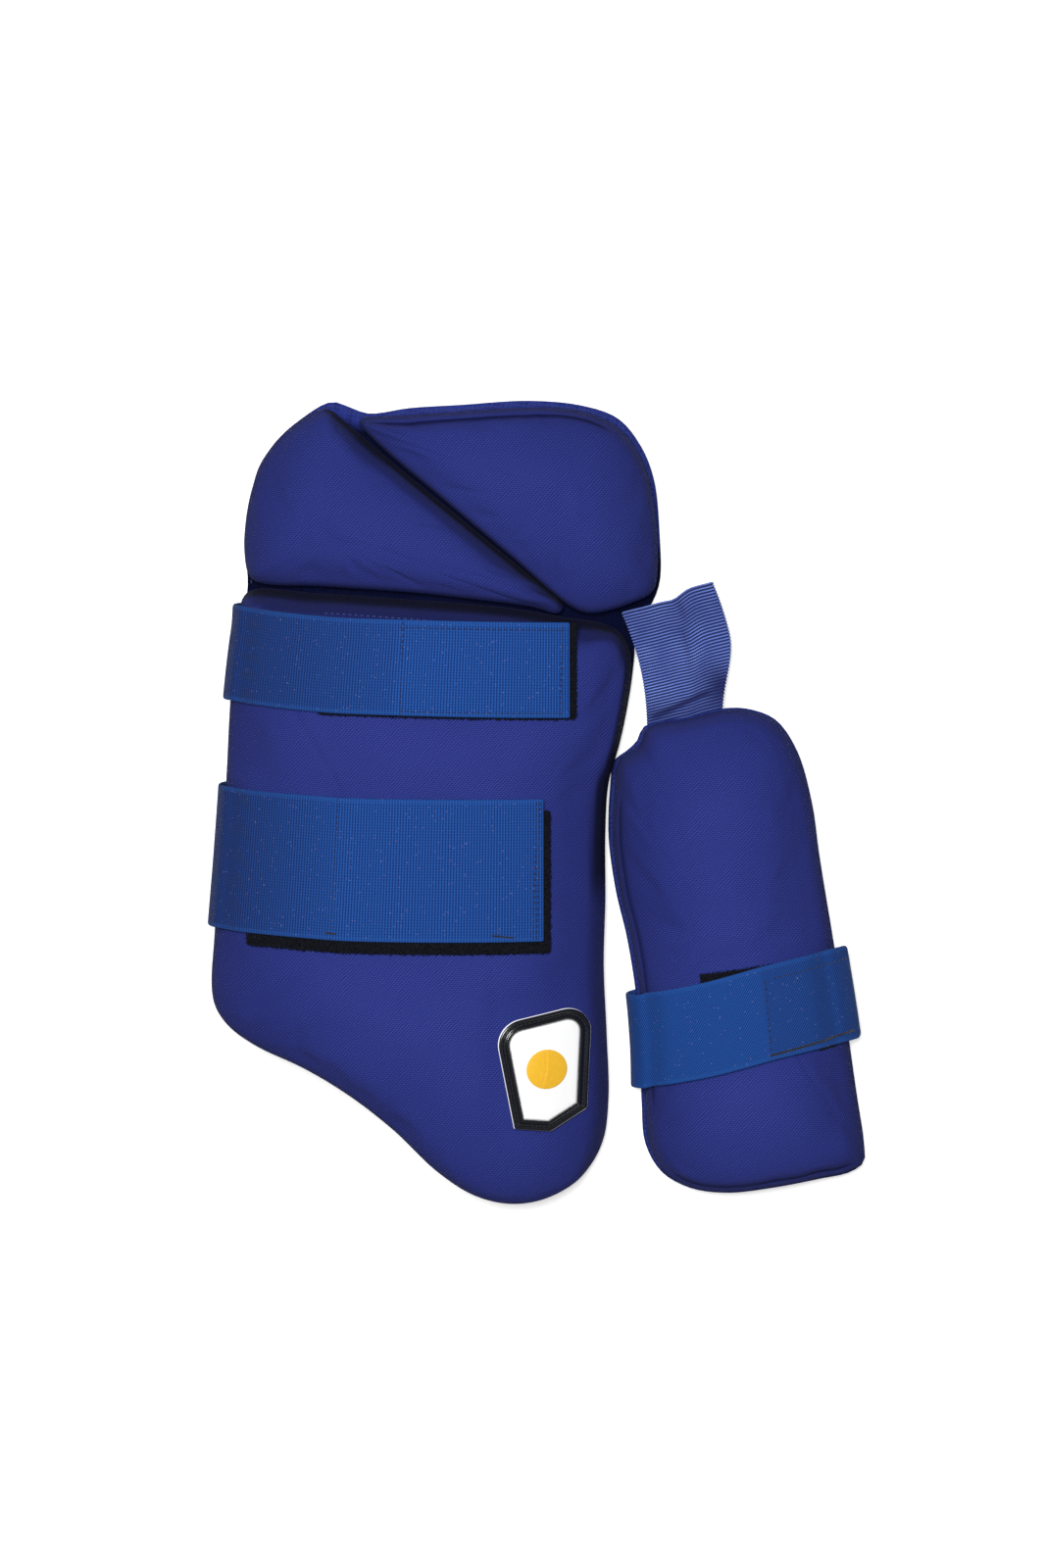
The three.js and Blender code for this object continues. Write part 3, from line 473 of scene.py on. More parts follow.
thigh = foam_pad(piece_outline(THIGH_OUTLINE, THIGH_SIZE, THIGH_PLACE, 240), THIGH_PLACE, THIGH_THICKNESS, 0)
left_hip = foam_pad(
    piece_outline(LEFT_HIP_OUTLINE, LEFT_HIP_SIZE, LEFT_HIP_PLACE, 128),
    (LEFT_HIP_PLACE[0] - LEFT_HIP_SIZE[0] * 0.2, LEFT_HIP_PLACE[1] - LEFT_HIP_SIZE[1] * 0.1), HIP_THICKNESS, 0.3)
right_hip = foam_pad(
    piece_outline(RIGHT_HIP_OUTLINE, RIGHT_HIP_SIZE, RIGHT_HIP_PLACE, 128),
    (RIGHT_HIP_PLACE[0] + RIGHT_HIP_SIZE[0] * 0.15, RIGHT_HIP_PLACE[1] + RIGHT_HIP_SIZE[1] * 0.1), HIP_THICKNESS, 0.6)
inner_corners = np.array([to_shared(INNER, u * INNER_SIZE[0], v * INNER_SIZE[1]) for u, v in INNER_OUTLINE])
inner_edge = even_outline(inner_corners, 160)
INNER_CENTRE = (INNER["x"], INNER["y"])
# The inner pad's cover bulges nearly out to the edge, but leaves a sewn flange at the left and foot.
facing = outward(inner_edge)
flange = 0.9 + 2.3 * ease(-facing[:, 0], 0.55, 0.85) + 1.4 * ease(-facing[:, 1], 0.6, 0.9)
inner = foam_pad(drawn_in(inner_edge, INNER_CENTRE, flange[:, None]), INNER_CENTRE, INNER_THICKNESS, 0, INNER,
                 INNER_SIZE[0] / 2, 0)
# A seam pinches the cover beside its edge, at the left below the shoulder and along the foot, and the finish paints
# shade along it.
facing, up_leg = outward(inner["outline"]), turned(INNER, *inner["outline"].T)[1]
left_seam = ease(-facing[:, 0], 0.8, 0.95) * (1 - ease(up_leg, 88, 98)) * ease(up_leg, -92, -80)
foot_seam = ease(-facing[:, 1], 0.75, 0.92)
inner["seam"] = blurred(np.maximum(0.8 * left_seam, foot_seam), 2)
guard_edge = piece_outline(GUARD_OUTLINE, GUARD_SIZE, GUARD_PLACE, 256)

# Widths of the sloped walls that face the grooves and the inner guard.
facing = outward(thigh["outline"])
top_wall = ease(facing[:, 1], 0.75, 0.95) * (thigh["outline"][:, 1] > 60) * 11
right_wall = ease(facing[:, 0], 0.6, 0.9) * np.interp(
    thigh["outline"][:, 1], [-200, -60, 10, 30, 75, 95], [4.5, 5.5, 4.6, 2.2, 2.4, 6.5])
thigh["wall"] = blurred(np.maximum(top_wall, right_wall), 2)
# Below the place where the guards part, the right wall gets no deep painted shade and is as blue as the front.
thigh["dark"] = np.maximum(ease(thigh["outline"][:, 1], -58, -34), facing[:, 0] < 0.3)
# Painted shade: a little on all sides, more on the top wall under the hip pads, and much more on the right wall above
# the place where the guards part.
thigh["shade"] = SIDE_SHADE + GROOVE_SHADE * (top_wall > 1) + (
    0.7 * blurred(ease(facing[:, 0], 0.5, 0.8), 3) * (top_wall < 1) * thigh["dark"])
facing = outward(left_hip["outline"])
diagonal = ease(facing[:, 0], 0.5, 0.75) * ease(facing[:, 1], 0.3, 0.55)
left_hip["wall"] = blurred(diagonal * np.interp(left_hip["outline"][:, 1], [105, 200], [8.5, 11.5]), 2)
# The diagonal wall by the groove between the hip pads gets more painted shade.
left_hip["shade"] += GROOVE_SHADE * diagonal
facing = outward(right_hip["outline"])
# The right hip pad's left side, by the groove, gets more painted shade.
right_hip["shade"] += 0.4 * ease(-facing[:, 0], 0.2, 0.6)
right_hip["seam"] = blurred(ease(facing[:, 1], 0.72, 0.9) * ease(right_hip["outline"][:, 1], 170, 185), 2)


def pad_rings(pad):
    """Rings of a pad from the middle of its underside, out, up its wall and in to its middle."""
    outline, centre = pad["outline"], pad["centre"]
    insets = [0.5, 1.2, 2.2, 3.5, 5, 6.8, 8.8, 11.2, 14]
    drawn = [drawn_in(outline, centre, inset) for inset in insets]
    reach = np.linalg.norm(drawn[-1] - centre, axis=1).mean()
    steps = int(reach / 4.6)
    deep = []
    for share in np.linspace(1, 0, steps + 1)[1:-1]:
        every = 1 if share > 0.52 else 2 if share > 0.26 else 4 if share > 0.13 else 8
        deep.append((centre + (drawn[-1] - centre) * share)[::every])
    low = [ring for i, ring in enumerate(deep) if i % 3 == 1 or len(ring) < len(outline)][::-1]
    low += [drawn[-1], drawn[5], drawn[2]]
    return low, [outline] + drawn + deep


def pad_piece(name, pad):
    guard, outline = pad["guard"], pad["outline"]
    low, top = pad_rings(pad)

    def under(ring):
        return np.column_stack([ring, hollow(guard, ring[:, 0], ring[:, 1]) + PAD_LIFT])

    def over(ring):
        x, y = ring.T
        away = edge_distance(outline, x, y)
        wall = pad["wall"][::len(outline) // len(ring)]
        share = edge_share(pad, away, x, y)
        sloped = read(SLOPED_WALL, away / np.maximum(wall, 0.1))
        share = share + (np.minimum(sloped, share + 0.02) - share) * ease(wall, 0.5, 3)
        return np.column_stack([ring, hollow(guard, x, y) + PAD_LIFT + pad["thickness"] * share + crown(away)])

    upper = [over(ring) for ring in top]
    foot = under(outline)
    # The side swells a little between its two edges, as filled cloth does.
    side = []
    for share in (0.3, 0.7):
        ring = foot + (upper[0] - foot) * share
        ring[:, :2] += outward(outline) * 0.45 * math.sin(math.pi * share)
        side.append(ring)
    rings = [under(ring) for ring in low] + [foot] + side + upper
    middle = pad["centre"][None]
    points, faces = skin(rings, under(middle)[0], top_pole=[*middle[0], over_middle(pad)])
    piece = made(name, points, faces)
    lower = sum(len(r) for r in low) + len(outline) * 3
    fixed = np.zeros(len(points), bool)
    fixed[:lower + len(outline) * 2] = True
    fixed[len(points) - 2] = True
    away = edge_distance(outline, points[:, 0], points[:, 1])
    # Painted shade on each place, from 0 to 1: full on the underside, near black low in the sloped walls of the
    # grooves, the pad's own share up the side walls, and fading out within a few mm of the edge on top.
    painted_wall_shade = [np.ones(sum(len(r) for r in low))] + [pad["shade"]] * 3
    for ring in top:
        every = len(outline) // len(ring)
        wall, shade = pad["wall"][::every], pad["shade"][::every]
        off = edge_distance(outline, *ring.T)
        up = off / np.maximum(wall, 0.1)
        dark = (1 - ease(up, 0.28, 0.44)) * pad["dark"][::every]
        sloping = np.maximum(dark, shade * (1 - ease(up, 0.85, 1.15)))
        painted_wall_shade.append(np.where(wall > 1.5, sloping, shade * (1 - ease(off, 0, 2.6))))
    noted(piece, "painted_wall_shade", np.concatenate(painted_wall_shade + [[1], [0]]))
    seam = [np.zeros(lower)]
    for i, ring in enumerate(top):
        seam.append(pad["seam"] * {4: 1, 5: 0.45}.get(i, 0) if len(ring) == len(outline) else np.zeros(len(ring)))
    noted(piece, "seam", np.concatenate(seam + [[0], [0]]))
    lay_weave(piece, pad, points)
    level_out(piece, ~fixed & (away > 2.5), 6)
    return piece, fixed, away


def lay_weave(piece, pad, points):
    """A flat map of the cloth that carries on down the walls, so that its ribs don't crowd there."""
    x, y = points[:, 0], points[:, 1]
    top = hollow(pad["guard"], x, y) + PAD_LIFT + pad["thickness"]
    near = np.argmin(((points[:, None, :2] - pad["outline"][None, ::4]) ** 2).sum(axis=2), axis=1)
    fall = np.clip(top - points[:, 2], 0, None)[:, None] * outward(pad["outline"])[::4][near]
    mapped(piece, (points[:, :2] + 0.85 * fall) * 0.001)


def over_middle(pad):
    return float(pad_top(pad, *pad["centre"]))


def places(piece):
    found = np.empty(len(piece.data.vertices) * 3)
    piece.data.vertices.foreach_get("co", found)
    return found.reshape(-1, 3)


def level_out(piece, free, rounds):
    """Evens the heights of free points with those of their neighbours."""
    found = places(piece)
    ends = np.empty(len(piece.data.edges) * 2, int)
    piece.data.edges.foreach_get("vertices", ends)
    a, b = ends.reshape(-1, 2).T
    count = np.bincount(ends, minlength=len(found))
    for _ in range(rounds):
        total = np.bincount(a, found[b, 2], len(found)) + np.bincount(b, found[a, 2], len(found))
        found[free, 2] += 0.5 * (total / count - found[:, 2])[free]
    piece.data.vertices.foreach_set("co", found.ravel())
    piece.data.update()


def swollen(piece, fixed, most):
    """Fills a pad's cover like a cushion. No point moves further than most, in mm."""
    start = places(piece)
    piece.vertex_groups.new(name="held").add([int(i) for i in np.flatnonzero(fixed)], 1.0, "REPLACE")
    cloth = piece.modifiers.new("filled cover", "CLOTH")
    cloth.settings.quality = 5
    cloth.settings.mass = 0.25
    cloth.settings.tension_stiffness = cloth.settings.compression_stiffness = 12
    cloth.settings.shear_stiffness = 8
    cloth.settings.bending_stiffness = 0.4
    cloth.settings.use_pressure = True
    cloth.settings.uniform_pressure_force = FILL_PRESSURE
    cloth.settings.shrink_min = -0.012
    cloth.settings.vertex_group_mass = "held"
    cloth.settings.effector_weights.gravity = 0
    cloth.collision_settings.use_collision = False
    cloth.point_cache.frame_start, cloth.point_cache.frame_end = 1, FILL_FRAMES
    for moment in range(1, FILL_FRAMES + 1):
        scene.frame_set(moment)
    settled = piece.evaluated_get(bpy.context.evaluated_depsgraph_get()).to_mesh()
    found = np.empty(len(settled.vertices) * 3)
    settled.vertices.foreach_get("co", found)
    piece.modifiers.remove(cloth)
    scene.frame_set(1)
    piece.vertex_groups.clear()
    moved = found.reshape(-1, 3) - start
    far = np.linalg.norm(moved, axis=1) + 1e-9
    limit = np.maximum(most, 0.01) * 0.001
    moved *= (limit * np.tanh(far / limit) / far)[:, None]
    piece.data.vertices.foreach_set("co", (start + moved).ravel())
    piece.data.update()


def strap_middle(strap, x):
    """Height up the leg of an outer strap's middle line, at a place across its front."""
    share = (strap["end"] - x) / (strap["end"] - (THIGH_PLACE[0] - THIGH_SIZE[0] / 2))
    return strap["y"] + strap["rise"] * read(strap["bow"], share)


def clear_of_straps(x, y):
    """Distance from the nearest strap or badge that presses on the thigh pad."""
    away = np.hypot(np.maximum(0, np.abs(x - BADGE_PLACE[0]) - BADGE_HALF[0]),
                    np.maximum(0, np.abs(y - BADGE_PLACE[1]) - BADGE_HALF[1]))
    for strap, patch in ((UPPER, UPPER_PATCH), (LOWER, LOWER_PATCH)):
        up = y - strap_middle(strap, x)
        beside = np.maximum(0, x - strap["end"] - PATCH_SHOWN)
        over = np.maximum(0, up - strap["width"] / 2)
        on_patch = x > strap["end"] - patch["length"]
        below = np.maximum(0, -up - strap["width"] / 2 + min(0, patch["shift"]) * on_patch)
        away = np.minimum(away, np.hypot(beside, np.maximum(over, below)))
    return away


def above_inner_strap(across, along):
    """Height up the leg above the inner strap's middle line, in the inner guard's axes."""
    bow = read(INNER_STRAP["bow"], 0.5 + across / INNER_SIZE[0])
    return along - INNER_STRAP["place"] - INNER_STRAP["rise"] * bow


def clear_of_inner_strap(x, y):
    across, along = turned(INNER, x, y)
    up = above_inner_strap(across, along)
    lift = 4.2 * (np.abs(across - INNER_PATCH["place"]) < 30)
    return np.maximum(0, np.maximum(up - 25 - lift, -up - 25))


# Backings

def backing_piece(name, outline, guard, centre, thickness, covered):
    """A thin stitched backing with a rounded edge, arched over the leg."""
    drawn = [(inset, drawn_in(outline, centre, inset)) for inset in (0.25, 0.8, 1.8, 3.4, 6, 10, 14)]
    steps = [(99, centre + (drawn[-1][1] - centre) * share) for share in np.linspace(1, 0, 20)[1:-1]]
    flat = [(0, outline)] + drawn
    for i, (inset, ring) in enumerate(steps):
        share = 1 - (i + 1) / 19
        flat.append((inset, ring[::1 if share > 0.52 else 2 if share > 0.26 else 4]))
    half = thickness / 2

    def face(side):
        rings = []
        for inset, ring in flat:
            near = max(0.0, 1 - inset / 1.1)
            bulge = half * math.sqrt(1 - 0.9 * near ** 2)
            middle = hollow(guard, ring[:, 0], ring[:, 1]) + half
            rings.append(np.column_stack([ring, middle + side * bulge]))
        return rings

    lower, upper = face(-1), face(1)
    mid = float(hollow(guard, *centre)) + half
    points, faces = skin(lower[::-1] + upper, [*centre, mid - half], [*centre, mid + half])
    piece = made(name, points, faces)
    near = 1 - ease(edge_distance(outline, points[:, 0], points[:, 1]), 5, 8)
    noted(piece, "flange", near * covered(points[:, 0], points[:, 1]))
    return piece


# Straps

def over_pad(pad, x, y, beside):
    """Height of a strap's middle over a pad, kept to full thickness off the side edges."""
    lift = on_slope(pad["guard"], x, y, PATCH_THICKNESS + 2 * PIECE_GAP + STRAP_THICKNESS / 2)
    front = hollow(pad["guard"], x, y) + PAD_LIFT + pad["thickness"] * read(ROUND_EDGE, beside)
    return front + crown(beside) + lift


def turn_points(edge, side, height, bulge):
    """The turn of a strap round an edge, from over the pad down to the floor."""
    half = STRAP_THICKNESS / 2
    turn = [(edge - side * 3.6, height - 1.4)]
    for out, share in STRAP_TURN:
        turn.append((edge + side * (out * bulge - half), half + (height - half) * share))
    return turn + [(edge - side * 3.5, half), (edge - side * 9, half)]


def outer_strap_path(strap, offset):
    """One line along an outer strap: free end, front, left edge, then flat to its seam."""
    level = strap["y"] + strap["rise"]
    place = level + offset
    left = side_of(thigh["outline"], place, -1) - 0.6
    right = side_of(thigh["outline"], level - strap["width"] * 0.3, 1)
    half = STRAP_THICKNESS / 2
    path = []
    for x in np.linspace(strap["end"], left + 7, 19):
        y = strap["y"] + strap["rise"] * read(strap["bow"], (strap["end"] - x) / (strap["end"] - left)) + offset
        path.append((x, y, over_pad(thigh, x, y, x - left)))
    path += [(x, place, z) for x, z in turn_points(left, -1, path[-1][2], STRAP_BULGE)]
    axis = to_shared(OUTER, 0, place)[0]
    path += [(x, place, half) for x in (left + 30, axis - 20, axis + 30, right - 42)]
    seam = right - 4
    path += [(right - 24, place, 1.9), (right - 12, place, 4.4)]
    path.append((seam, place, hollow(OUTER, seam, place) - PIECE_GAP - half - 0.6))
    return np.array(path, float)


def inner_strap_path(offset, drop=0.0):
    """One line along the inner strap: free end over the right edge, front, left edge, seam."""
    strap, half = INNER_STRAP, STRAP_THICKNESS / 2
    left_place = strap["place"] + offset
    right_place = strap["place"] + strap["rise"] + offset
    seam = side_of(inner_edge, strap["place"], 1, INNER) - 4
    left = side_of(inner_edge, left_place, -1, INNER) - 0.6
    right = side_of(inner_edge, right_place, 1, INNER) + 0.6
    front = []
    for across in np.linspace(right - 7, left + 7, 12):
        along = strap["place"] + strap["rise"] * read(strap["bow"], (across - left) / (right - left)) + offset
        x, y = to_shared(INNER, across, along)
        beside = max(0, min(across - left, right - across) - INNER_FLANGE)
        front.append((across, along, over_pad(inner, x, y, beside) - drop))
    hang = [(a, right_place, z) for a, z in turn_points(right, 1, front[0][2], strap["bulge"])[:4]]
    path = hang[::-1] + front
    path += [(a, left_place, z) for a, z in turn_points(left, -1, front[-1][2], strap["left_bulge"])]
    under = float(hollow(INNER, *to_shared(INNER, seam, 0)))
    for a, z in ((seam - 70, half), (seam - 45, half), (seam - 24, half + 0.6), (seam - 10, half + 2.6),
                 (seam, under - PIECE_GAP - half - 0.6)):
        path.append((a, left_place, z))
    return np.array([[*to_shared(INNER, a, u), z] for a, u, z in path], float)


def offsets_across(width, spacing=4.0):
    inside = np.linspace(RIM_ROWS[-1], width - RIM_ROWS[-1], max(2, int(width / spacing)))[1:-1]
    return np.concatenate([RIM_ROWS, inside, [width - r for r in RIM_ROWS[::-1]]]) - width / 2


def band(name, paths, offsets, thickness, corner=1.0, spacing=3.0, rounded=True):
    """A woven band about smooth lines laid side by side, with rounded long edges and ends."""
    lengths = np.mean([np.linalg.norm(np.diff(p, axis=0), axis=1) for p in paths], axis=0)
    parts = [max(1, int(math.ceil(n / spacing))) for n in lengths]
    lines = np.stack([run_through(p, False, parts) for p in paths], axis=1)
    middle = lines[:, len(offsets) // 2]
    along = np.concatenate([[0], np.cumsum(np.linalg.norm(np.diff(middle, axis=0), axis=1))])
    if rounded:
        # Extra rows at the free end, so that its edge and corners can be rounded.
        rows = np.concatenate([RIM_ROWS, along[along > 3.2]])
        lines = np.stack([[np.interp(rows, along, lines[:, j, k]) for k in range(3)] for j in range(len(offsets))])
        lines, along = lines.transpose(2, 0, 1), rows
    width = offsets[-1] - offsets[0]
    run = np.gradient(lines, axis=0)
    cross = np.gradient(lines, axis=1)
    out = np.cross(run, cross)
    out /= np.linalg.norm(out, axis=2)[..., None]
    # Corners are rounded by drawing the long edges in near the free end.
    depth = np.clip(corner - along, 0, corner)
    draw = (corner - np.sqrt(corner ** 2 - depth ** 2)) if rounded else np.zeros(len(along))
    share = 1 - 2 * draw / width
    centre = lines.mean(axis=1, keepdims=True)
    lines = centre + (lines - centre) * share[:, None, None]
    rim = np.clip(1 - (width / 2 - np.abs(offsets)) / 1.0, 0, 1)
    end = np.clip(1 - along / 1.0, 0, 1) if rounded else np.zeros(len(along))
    fall = np.sqrt(np.clip(1 - 0.9 * np.maximum(rim[None] ** 2, end[:, None] ** 2), 0.1, 1))
    half = (thickness / 2 * fall)[..., None]
    upper, lower = lines + out * half, lines - out * half
    count, wide = len(along), len(offsets)
    number = np.arange(count * wide).reshape(count, wide)
    faces = []
    for i in range(count - 1):
        for j in range(wide - 1):
            a, b, c, d = number[i, j], number[i + 1, j], number[i + 1, j + 1], number[i, j + 1]
            faces += [(a, b, c, d), tuple(count * wide + k for k in (a, d, c, b))]
    low = number + count * wide
    for i in range(count - 1):
        faces.append((low[i, 0], low[i + 1, 0], number[i + 1, 0], number[i, 0]))
        faces.append((number[i, -1], number[i + 1, -1], low[i + 1, -1], low[i, -1]))
    for j in range(wide - 1):
        faces.append((number[0, j], number[0, j + 1], low[0, j + 1], low[0, j]))
        faces.append((number[-1, j + 1], number[-1, j], low[-1, j], low[-1, j + 1]))
    faces = [tuple(int(k) for k in face) for face in faces]
    piece = made(name, np.vstack([upper.reshape(-1, 3), lower.reshape(-1, 3)]), faces)
    grid_along = np.repeat(along, wide)
    grid_across = np.tile(offsets, count)
    mapped(piece, np.tile(np.column_stack([grid_along, grid_across]) * 0.001, (2, 1)))
    noted(piece, "along_mm", np.tile(grid_along, 2))
    noted(piece, "rim_mm", np.tile(width / 2 - np.abs(grid_across), 2))
    return piece


def patch_paths(pad, start, end, offsets, middle, place):
    paths = []
    for offset in offsets:
        path = []
        for across in np.linspace(end, start, int(abs(end - start) / 8) + 2):
            x, y = place(across, middle(across) + offset)
            front = hollow(pad["guard"], x, y) + PAD_LIFT + pad["thickness"]
            front += crown(edge_distance(pad["outline"], x, y))
            path.append((x, y, front + on_slope(pad["guard"], x, y, PIECE_GAP + PATCH_THICKNESS / 2)))
        paths.append(np.array(path, float))
    return paths


# Seams

def laid_on(piece, line, lift, spacing=1.0):
    """A line of places laid on a finished piece from above, lifted a little off it."""
    line = np.asarray(line, float)
    along = np.concatenate([[0], np.cumsum(np.linalg.norm(np.diff(line, axis=0), axis=1))])
    at = np.linspace(0, along[-1], max(2, int(along[-1] / spacing)))
    flat = np.column_stack([np.interp(at, along, line[:, 0]), np.interp(at, along, line[:, 1])])
    surface, laid = surface_of(piece), []
    for x, y in flat + SHIFT[:2]:
        hit, normal, _, _ = surface.ray_cast(Vector((x * 0.001, y * 0.001, 0.3)), Vector((0, 0, -1)))
        if hit is not None:
            laid.append(np.array(hit + normal * lift * 0.001) * 1000 - SHIFT)
    return np.array(laid)


def line_mesh(name, lines):
    """A mesh of open lines, for stitches to follow."""
    points, edges, start = [], [], 0
    for line in lines:
        points.append(line)
        edges += [(start + i, start + i + 1) for i in range(len(line) - 1)]
        start += len(line)
    mesh = bpy.data.meshes.new(name)
    mesh.from_pydata((np.vstack(points) + SHIFT) * 0.001, edges, [])
    piece = bpy.data.objects.new(name, mesh)
    scene.collection.objects.link(piece)
    return piece


def new_tree(name, inputs):
    tree = bpy.data.node_groups.new(name, "GeometryNodeTree")
    tree.interface.new_socket("Geometry", in_out="INPUT", socket_type="NodeSocketGeometry")
    for label, kind in inputs:
        tree.interface.new_socket(label, in_out="INPUT", socket_type="NodeSocket" + kind)
    tree.interface.new_socket("Geometry", in_out="OUTPUT", socket_type="NodeSocketGeometry")
    return tree


def step(tree, kind, links=None, **settings):
    """Adds one node to a tree. Settings are its own; links feed its sockets with values or nodes."""
    node = tree.nodes.new(kind)
    for key, value in settings.items():
        setattr(node, key, value)
    for key, value in (links or {}).items():
        socket = node.inputs[key] if isinstance(key, int) else next(
            s for s in node.inputs if s.name == key and s.enabled)
        if isinstance(value, bpy.types.Node):
            value = next(s for s in value.outputs if s.enabled)
        if isinstance(value, bpy.types.NodeSocket):
            tree.links.new(value, socket)
        else:
            socket.default_value = value
    return node


def stitch_tree():
    """Short rounded stitches of thread laid end to end along lines."""
    tree = new_tree("Stitches", [("Pitch", "Float"), ("Length", "Float"), ("Thread", "Float"),
                                 ("Finish", "Material")])
    given = step(tree, "NodeGroupInput").outputs
    curve = step(tree, "GeometryNodeMeshToCurve", {"Mesh": given["Geometry"]})
    even = step(tree, "GeometryNodeResampleCurve", {"Curve": curve}, mode="LENGTH")
    tree.links.new(given["Pitch"], even.inputs["Length"])
    half = step(tree, "ShaderNodeMath", {0: given["Length"], 1: 0.5}, operation="MULTIPLY")
    size = step(tree, "ShaderNodeCombineXYZ", {"X": half, "Y": given["Thread"], "Z": given["Thread"]})
    bead = step(tree, "GeometryNodeMeshUVSphere", {"Segments": 8, "Rings": 5, "Radius": 1.0})
    way = step(tree, "GeometryNodeInputTangent")
    turn = step(tree, "FunctionNodeAlignRotationToVector", {"Vector": way}, axis="X")
    laid = step(tree, "GeometryNodeInstanceOnPoints",
                {"Points": even, "Instance": bead, "Rotation": turn, "Scale": size})
    real = step(tree, "GeometryNodeRealizeInstances", {"Geometry": laid})
    done = step(tree, "GeometryNodeSetMaterial", {"Geometry": real, "Material": given["Finish"]})
    step(tree, "NodeGroupOutput", {"Geometry": done})
    return tree


def pile_tree():
    """Small curls of pile on the part of a patch that shows."""
    tree = new_tree("Loop pile", [("Density", "Float"), ("Curl", "Float"), ("Fibre", "Float"), ("Seed", "Int"),
                                  ("Finish", "Material")])
    given = step(tree, "NodeGroupInput").outputs
    shown = step(tree, "GeometryNodeInputNamedAttribute", {"Name": "shown"}, data_type="FLOAT")
    open_part = step(tree, "FunctionNodeCompare", {"A": shown.outputs["Attribute"], "B": 0.5},
                     operation="GREATER_THAN")
    spread = step(tree, "GeometryNodeDistributePointsOnFaces",
                  {"Mesh": given["Geometry"], "Selection": open_part, "Density": given["Density"],
                   "Seed": given["Seed"]})
    arc = step(tree, "GeometryNodeCurveArc", {"Resolution": 6, "Radius": given["Curl"], "Sweep Angle": 4.2})
    rod = step(tree, "GeometryNodeCurvePrimitiveCircle", {"Resolution": 3, "Radius": given["Fibre"]})
    curl = step(tree, "GeometryNodeCurveToMesh", {"Curve": arc, "Profile Curve": rod})
    spin = step(tree, "FunctionNodeRandomValue", {"Min": (-1.2, -1.2, 0.0), "Max": (1.2, 1.2, 6.28),
                                                   "Seed": given["Seed"]}, data_type="FLOAT_VECTOR")
    grow = step(tree, "FunctionNodeRandomValue", {"Min": 0.5, "Max": 1.3, "Seed": given["Seed"]}, data_type="FLOAT")
    laid = step(tree, "GeometryNodeInstanceOnPoints",
                {"Points": spread.outputs["Points"], "Instance": curl, "Rotation": spin, "Scale": grow})
    real = step(tree, "GeometryNodeRealizeInstances", {"Geometry": laid})
    smooth = step(tree, "GeometryNodeSetShadeSmooth", {"Geometry": real})
    done = step(tree, "GeometryNodeSetMaterial", {"Geometry": smooth, "Material": given["Finish"]})
    step(tree, "NodeGroupOutput", {"Geometry": done})
    return tree


def grown(source, tree, name, keep_source=False, **values):
    """The plain mesh that a tree makes from a source, as a piece of its own."""
    work = source.modifiers.new("grown", "NODES")
    work.node_group = tree
    for label, value in values.items():
        work[tree.interface.items_tree[label].identifier] = value
    shape = bpy.data.meshes.new_from_object(source.evaluated_get(bpy.context.evaluated_depsgraph_get()))
    source.modifiers.remove(work)
    shape.name = name
    shape.polygons.foreach_set("use_smooth", [True] * len(shape.polygons))
    piece = bpy.data.objects.new(name, shape)
    scene.collection.objects.link(piece)
    if not keep_source:
        bpy.data.meshes.remove(source.data)
        piece.name = shape.name = name
    return piece


# Finishes

def linear(code):
    """An sRGB hex colour as linear light."""
    parts = [int(code[i:i + 2], 16) / 255 for i in (1, 3, 5)]
    return tuple(c / 12.92 if c <= 0.04045 else ((c + 0.055) / 1.055) ** 2.4 for c in parts) + (1.0,)


def new_finish(name, roughness, flat=False, turn=(0.0, 0.0, 0.0), **constants):
    """A material, its tree and shader, and its place in turned millimetres, on the piece or on its flat map."""
    finish = bpy.data.materials.new(name)
    finish.use_nodes = True
    tree = finish.node_tree
    shader = tree.nodes["Principled BSDF"]
    shader.inputs["Roughness"].default_value = roughness
    for label, value in constants.items():
        shader.inputs[label.replace("_", " ")].default_value = value
    if flat:
        place = step(tree, "ShaderNodeUVMap", uv_map="weave").outputs["UV"]
    else:
        place = step(tree, "ShaderNodeTexCoord").outputs["Object"]
    scaled = step(tree, "ShaderNodeMapping", {"Vector": place, "Rotation": turn, "Scale": (1000.0, 1000.0, 1000.0)})
    return finish, tree, shader, scaled


def surfaced(finish, colour, height, strength, reach=0.0003):
    """Gives a finish its colour and its relief, whose reach is in metres."""
    tree = finish.node_tree
    shader = tree.nodes["Principled BSDF"]
    tree.links.new(colour.outputs[2], shader.inputs["Base Color"])
    bump = step(tree, "ShaderNodeBump", {"Height": height, "Strength": strength, "Distance": reach})
    tree.links.new(bump.outputs[0], shader.inputs["Normal"])
    return finish


def mixed(tree, share, one, two):
    return step(tree, "ShaderNodeMix", {"Factor": share, "A": one, "B": two}, data_type="RGBA")


def scaled_sum(tree, value, scale, more):
    return step(tree, "ShaderNodeMath", {0: value, 1: scale, 2: more}, operation="MULTIPLY_ADD")


def ranged(tree, value, low, high, new_low=0.0, new_high=1.0):
    return step(tree, "ShaderNodeMapRange", {"Value": value, "From Min": low, "From Max": high, "To Min": new_low,
                                              "To Max": new_high})


def noise(tree, place, scale, detail, roughness=0.5):
    return step(tree, "ShaderNodeTexNoise", {"Vector": place, "Scale": scale, "Detail": detail,
                                              "Roughness": roughness})


def waved(tree, place, spacing):
    """Even waves so far apart along one direction."""
    turn = step(tree, "ShaderNodeMath", {0: place, 1: 2 * math.pi / spacing}, operation="MULTIPLY")
    return step(tree, "ShaderNodeMath", {0: turn}, operation="SINE")


